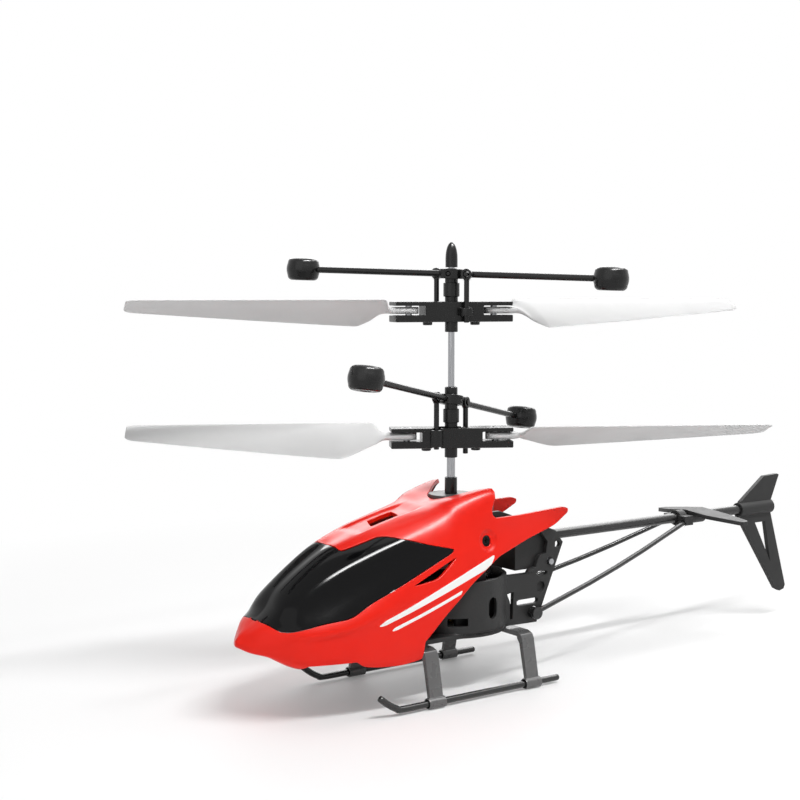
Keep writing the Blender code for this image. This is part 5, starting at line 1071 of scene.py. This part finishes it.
def shown(tree):
    """One for rays from the camera, from gloss and through clear plastic, and nought for the others."""
    rays = node(tree, "ShaderNodeLightPath").outputs
    seen = node(tree, "ShaderNodeMath", {0: rays["Is Camera Ray"], 1: rays["Is Glossy Ray"]},
                operation="MAXIMUM")
    seen = node(tree, "ShaderNodeMath", {0: seen.outputs[0], 1: rays["Is Transmission Ray"]},
                operation="MAXIMUM")
    return seen.outputs[0]


bm = bmesh.new()
bmesh.ops.create_grid(bm, x_segments=4, y_segments=4, size=FLOOR_SIZE)
floor_mesh = bpy.data.meshes.new("studio_floor")
bm.to_mesh(floor_mesh)
bm.free()
floor = bpy.data.objects.new("studio_floor", floor_mesh)
bpy.context.scene.collection.objects.link(floor)
floor.location.z = -FLOOR_DROP
# Studio paper: matt and pale, and pure white away from the object's shadow.
paper, tree, shader, place = surface("white_studio_paper")
shader.inputs["Base Color"].default_value = linear("#F4F4F4")
shader.inputs["Roughness"].default_value = 0.7
far = node(tree, "ShaderNodeVectorMath", {0: place}, operation="LENGTH").outputs["Value"]
fade = node(tree, "ShaderNodeMapRange", {"Value": far, "From Min": FADE_NEAR, "From Max": FADE_FAR,
                                         "To Min": FADE_LEAST})
amount = node(tree, "ShaderNodeMath", {0: shown(tree), 1: fade.outputs["Result"]}, operation="MULTIPLY")
glow = node(tree, "ShaderNodeEmission", {"Color": (1, 1, 1, 1), "Strength": 1.0})
mix = node(tree, "ShaderNodeMixShader", {0: amount.outputs[0], 1: shader.outputs[0], 2: glow.outputs[0]})
tree.links.new(mix.outputs[0], tree.nodes["Material Output"].inputs["Surface"])
floor_mesh.materials.append(paper)

world = bpy.data.worlds.new("studio_white")
bpy.context.scene.world = world
world.use_nodes = True
tree = world.node_tree
level = node(tree, "ShaderNodeMapRange", {"Value": shown(tree), "To Min": WORLD_LIGHT, "To Max": WORLD_SEEN})
background = tree.nodes["Background"]
background.inputs["Color"].default_value = (1, 1, 1, 1)
tree.links.new(level.outputs["Result"], background.inputs["Strength"])

# The first three light the part; the panels show only in its gloss
LAMPS = (
    ("key_strip", (0.32, 0.02, 0.58), (0.46, 0.035), 2.7, True),
    ("front_softbox", (0.35, -0.75, 0.40), (0.8, 0.8), 1.2, True),
    ("top_softbox", (-0.1, 0.10, 0.75), (0.45, 0.45), 0.9, True),
    ("streak_panel", (0.32, 0.02, 0.60), (0.46, 0.11), 9.0, False),
    ("sheen_panel", (-0.62, 0.52, 0.52), (0.9, 0.55), 6.0, False),
    ("tube_panel", (0.05, 0.45, 0.60), (0.5, 0.2), 2.4, False),
)
for name, place, size, power, lights in LAMPS:
    lamp = bpy.data.lights.new(name, "AREA")
    lamp.shape = "RECTANGLE"
    lamp.size, lamp.size_y = size
    lamp.energy = power
    obj = bpy.data.objects.new(name, lamp)
    obj.location = place
    obj.rotation_euler = (LAMP_AIM - Vector(place)).to_track_quat("-Z", "Y").to_euler()
    obj.visible_diffuse = lights
    bpy.context.scene.collection.objects.link(obj)

lens = bpy.data.cameras.new("photo_camera")
lens.lens = LENS
lens.sensor_width = SENSOR
lens.clip_start = CLIP_START
camera = bpy.data.objects.new("photo_camera", lens)
camera.location = CAMERA_PLACE * MM + MAST
camera.rotation_euler = (math.radians(90 + CAMERA_PITCH), 0.0, math.radians(CAMERA_YAW))
bpy.context.scene.collection.objects.link(camera)
bpy.context.scene.camera = camera
bpy.context.scene.view_settings.view_transform = "Standard"
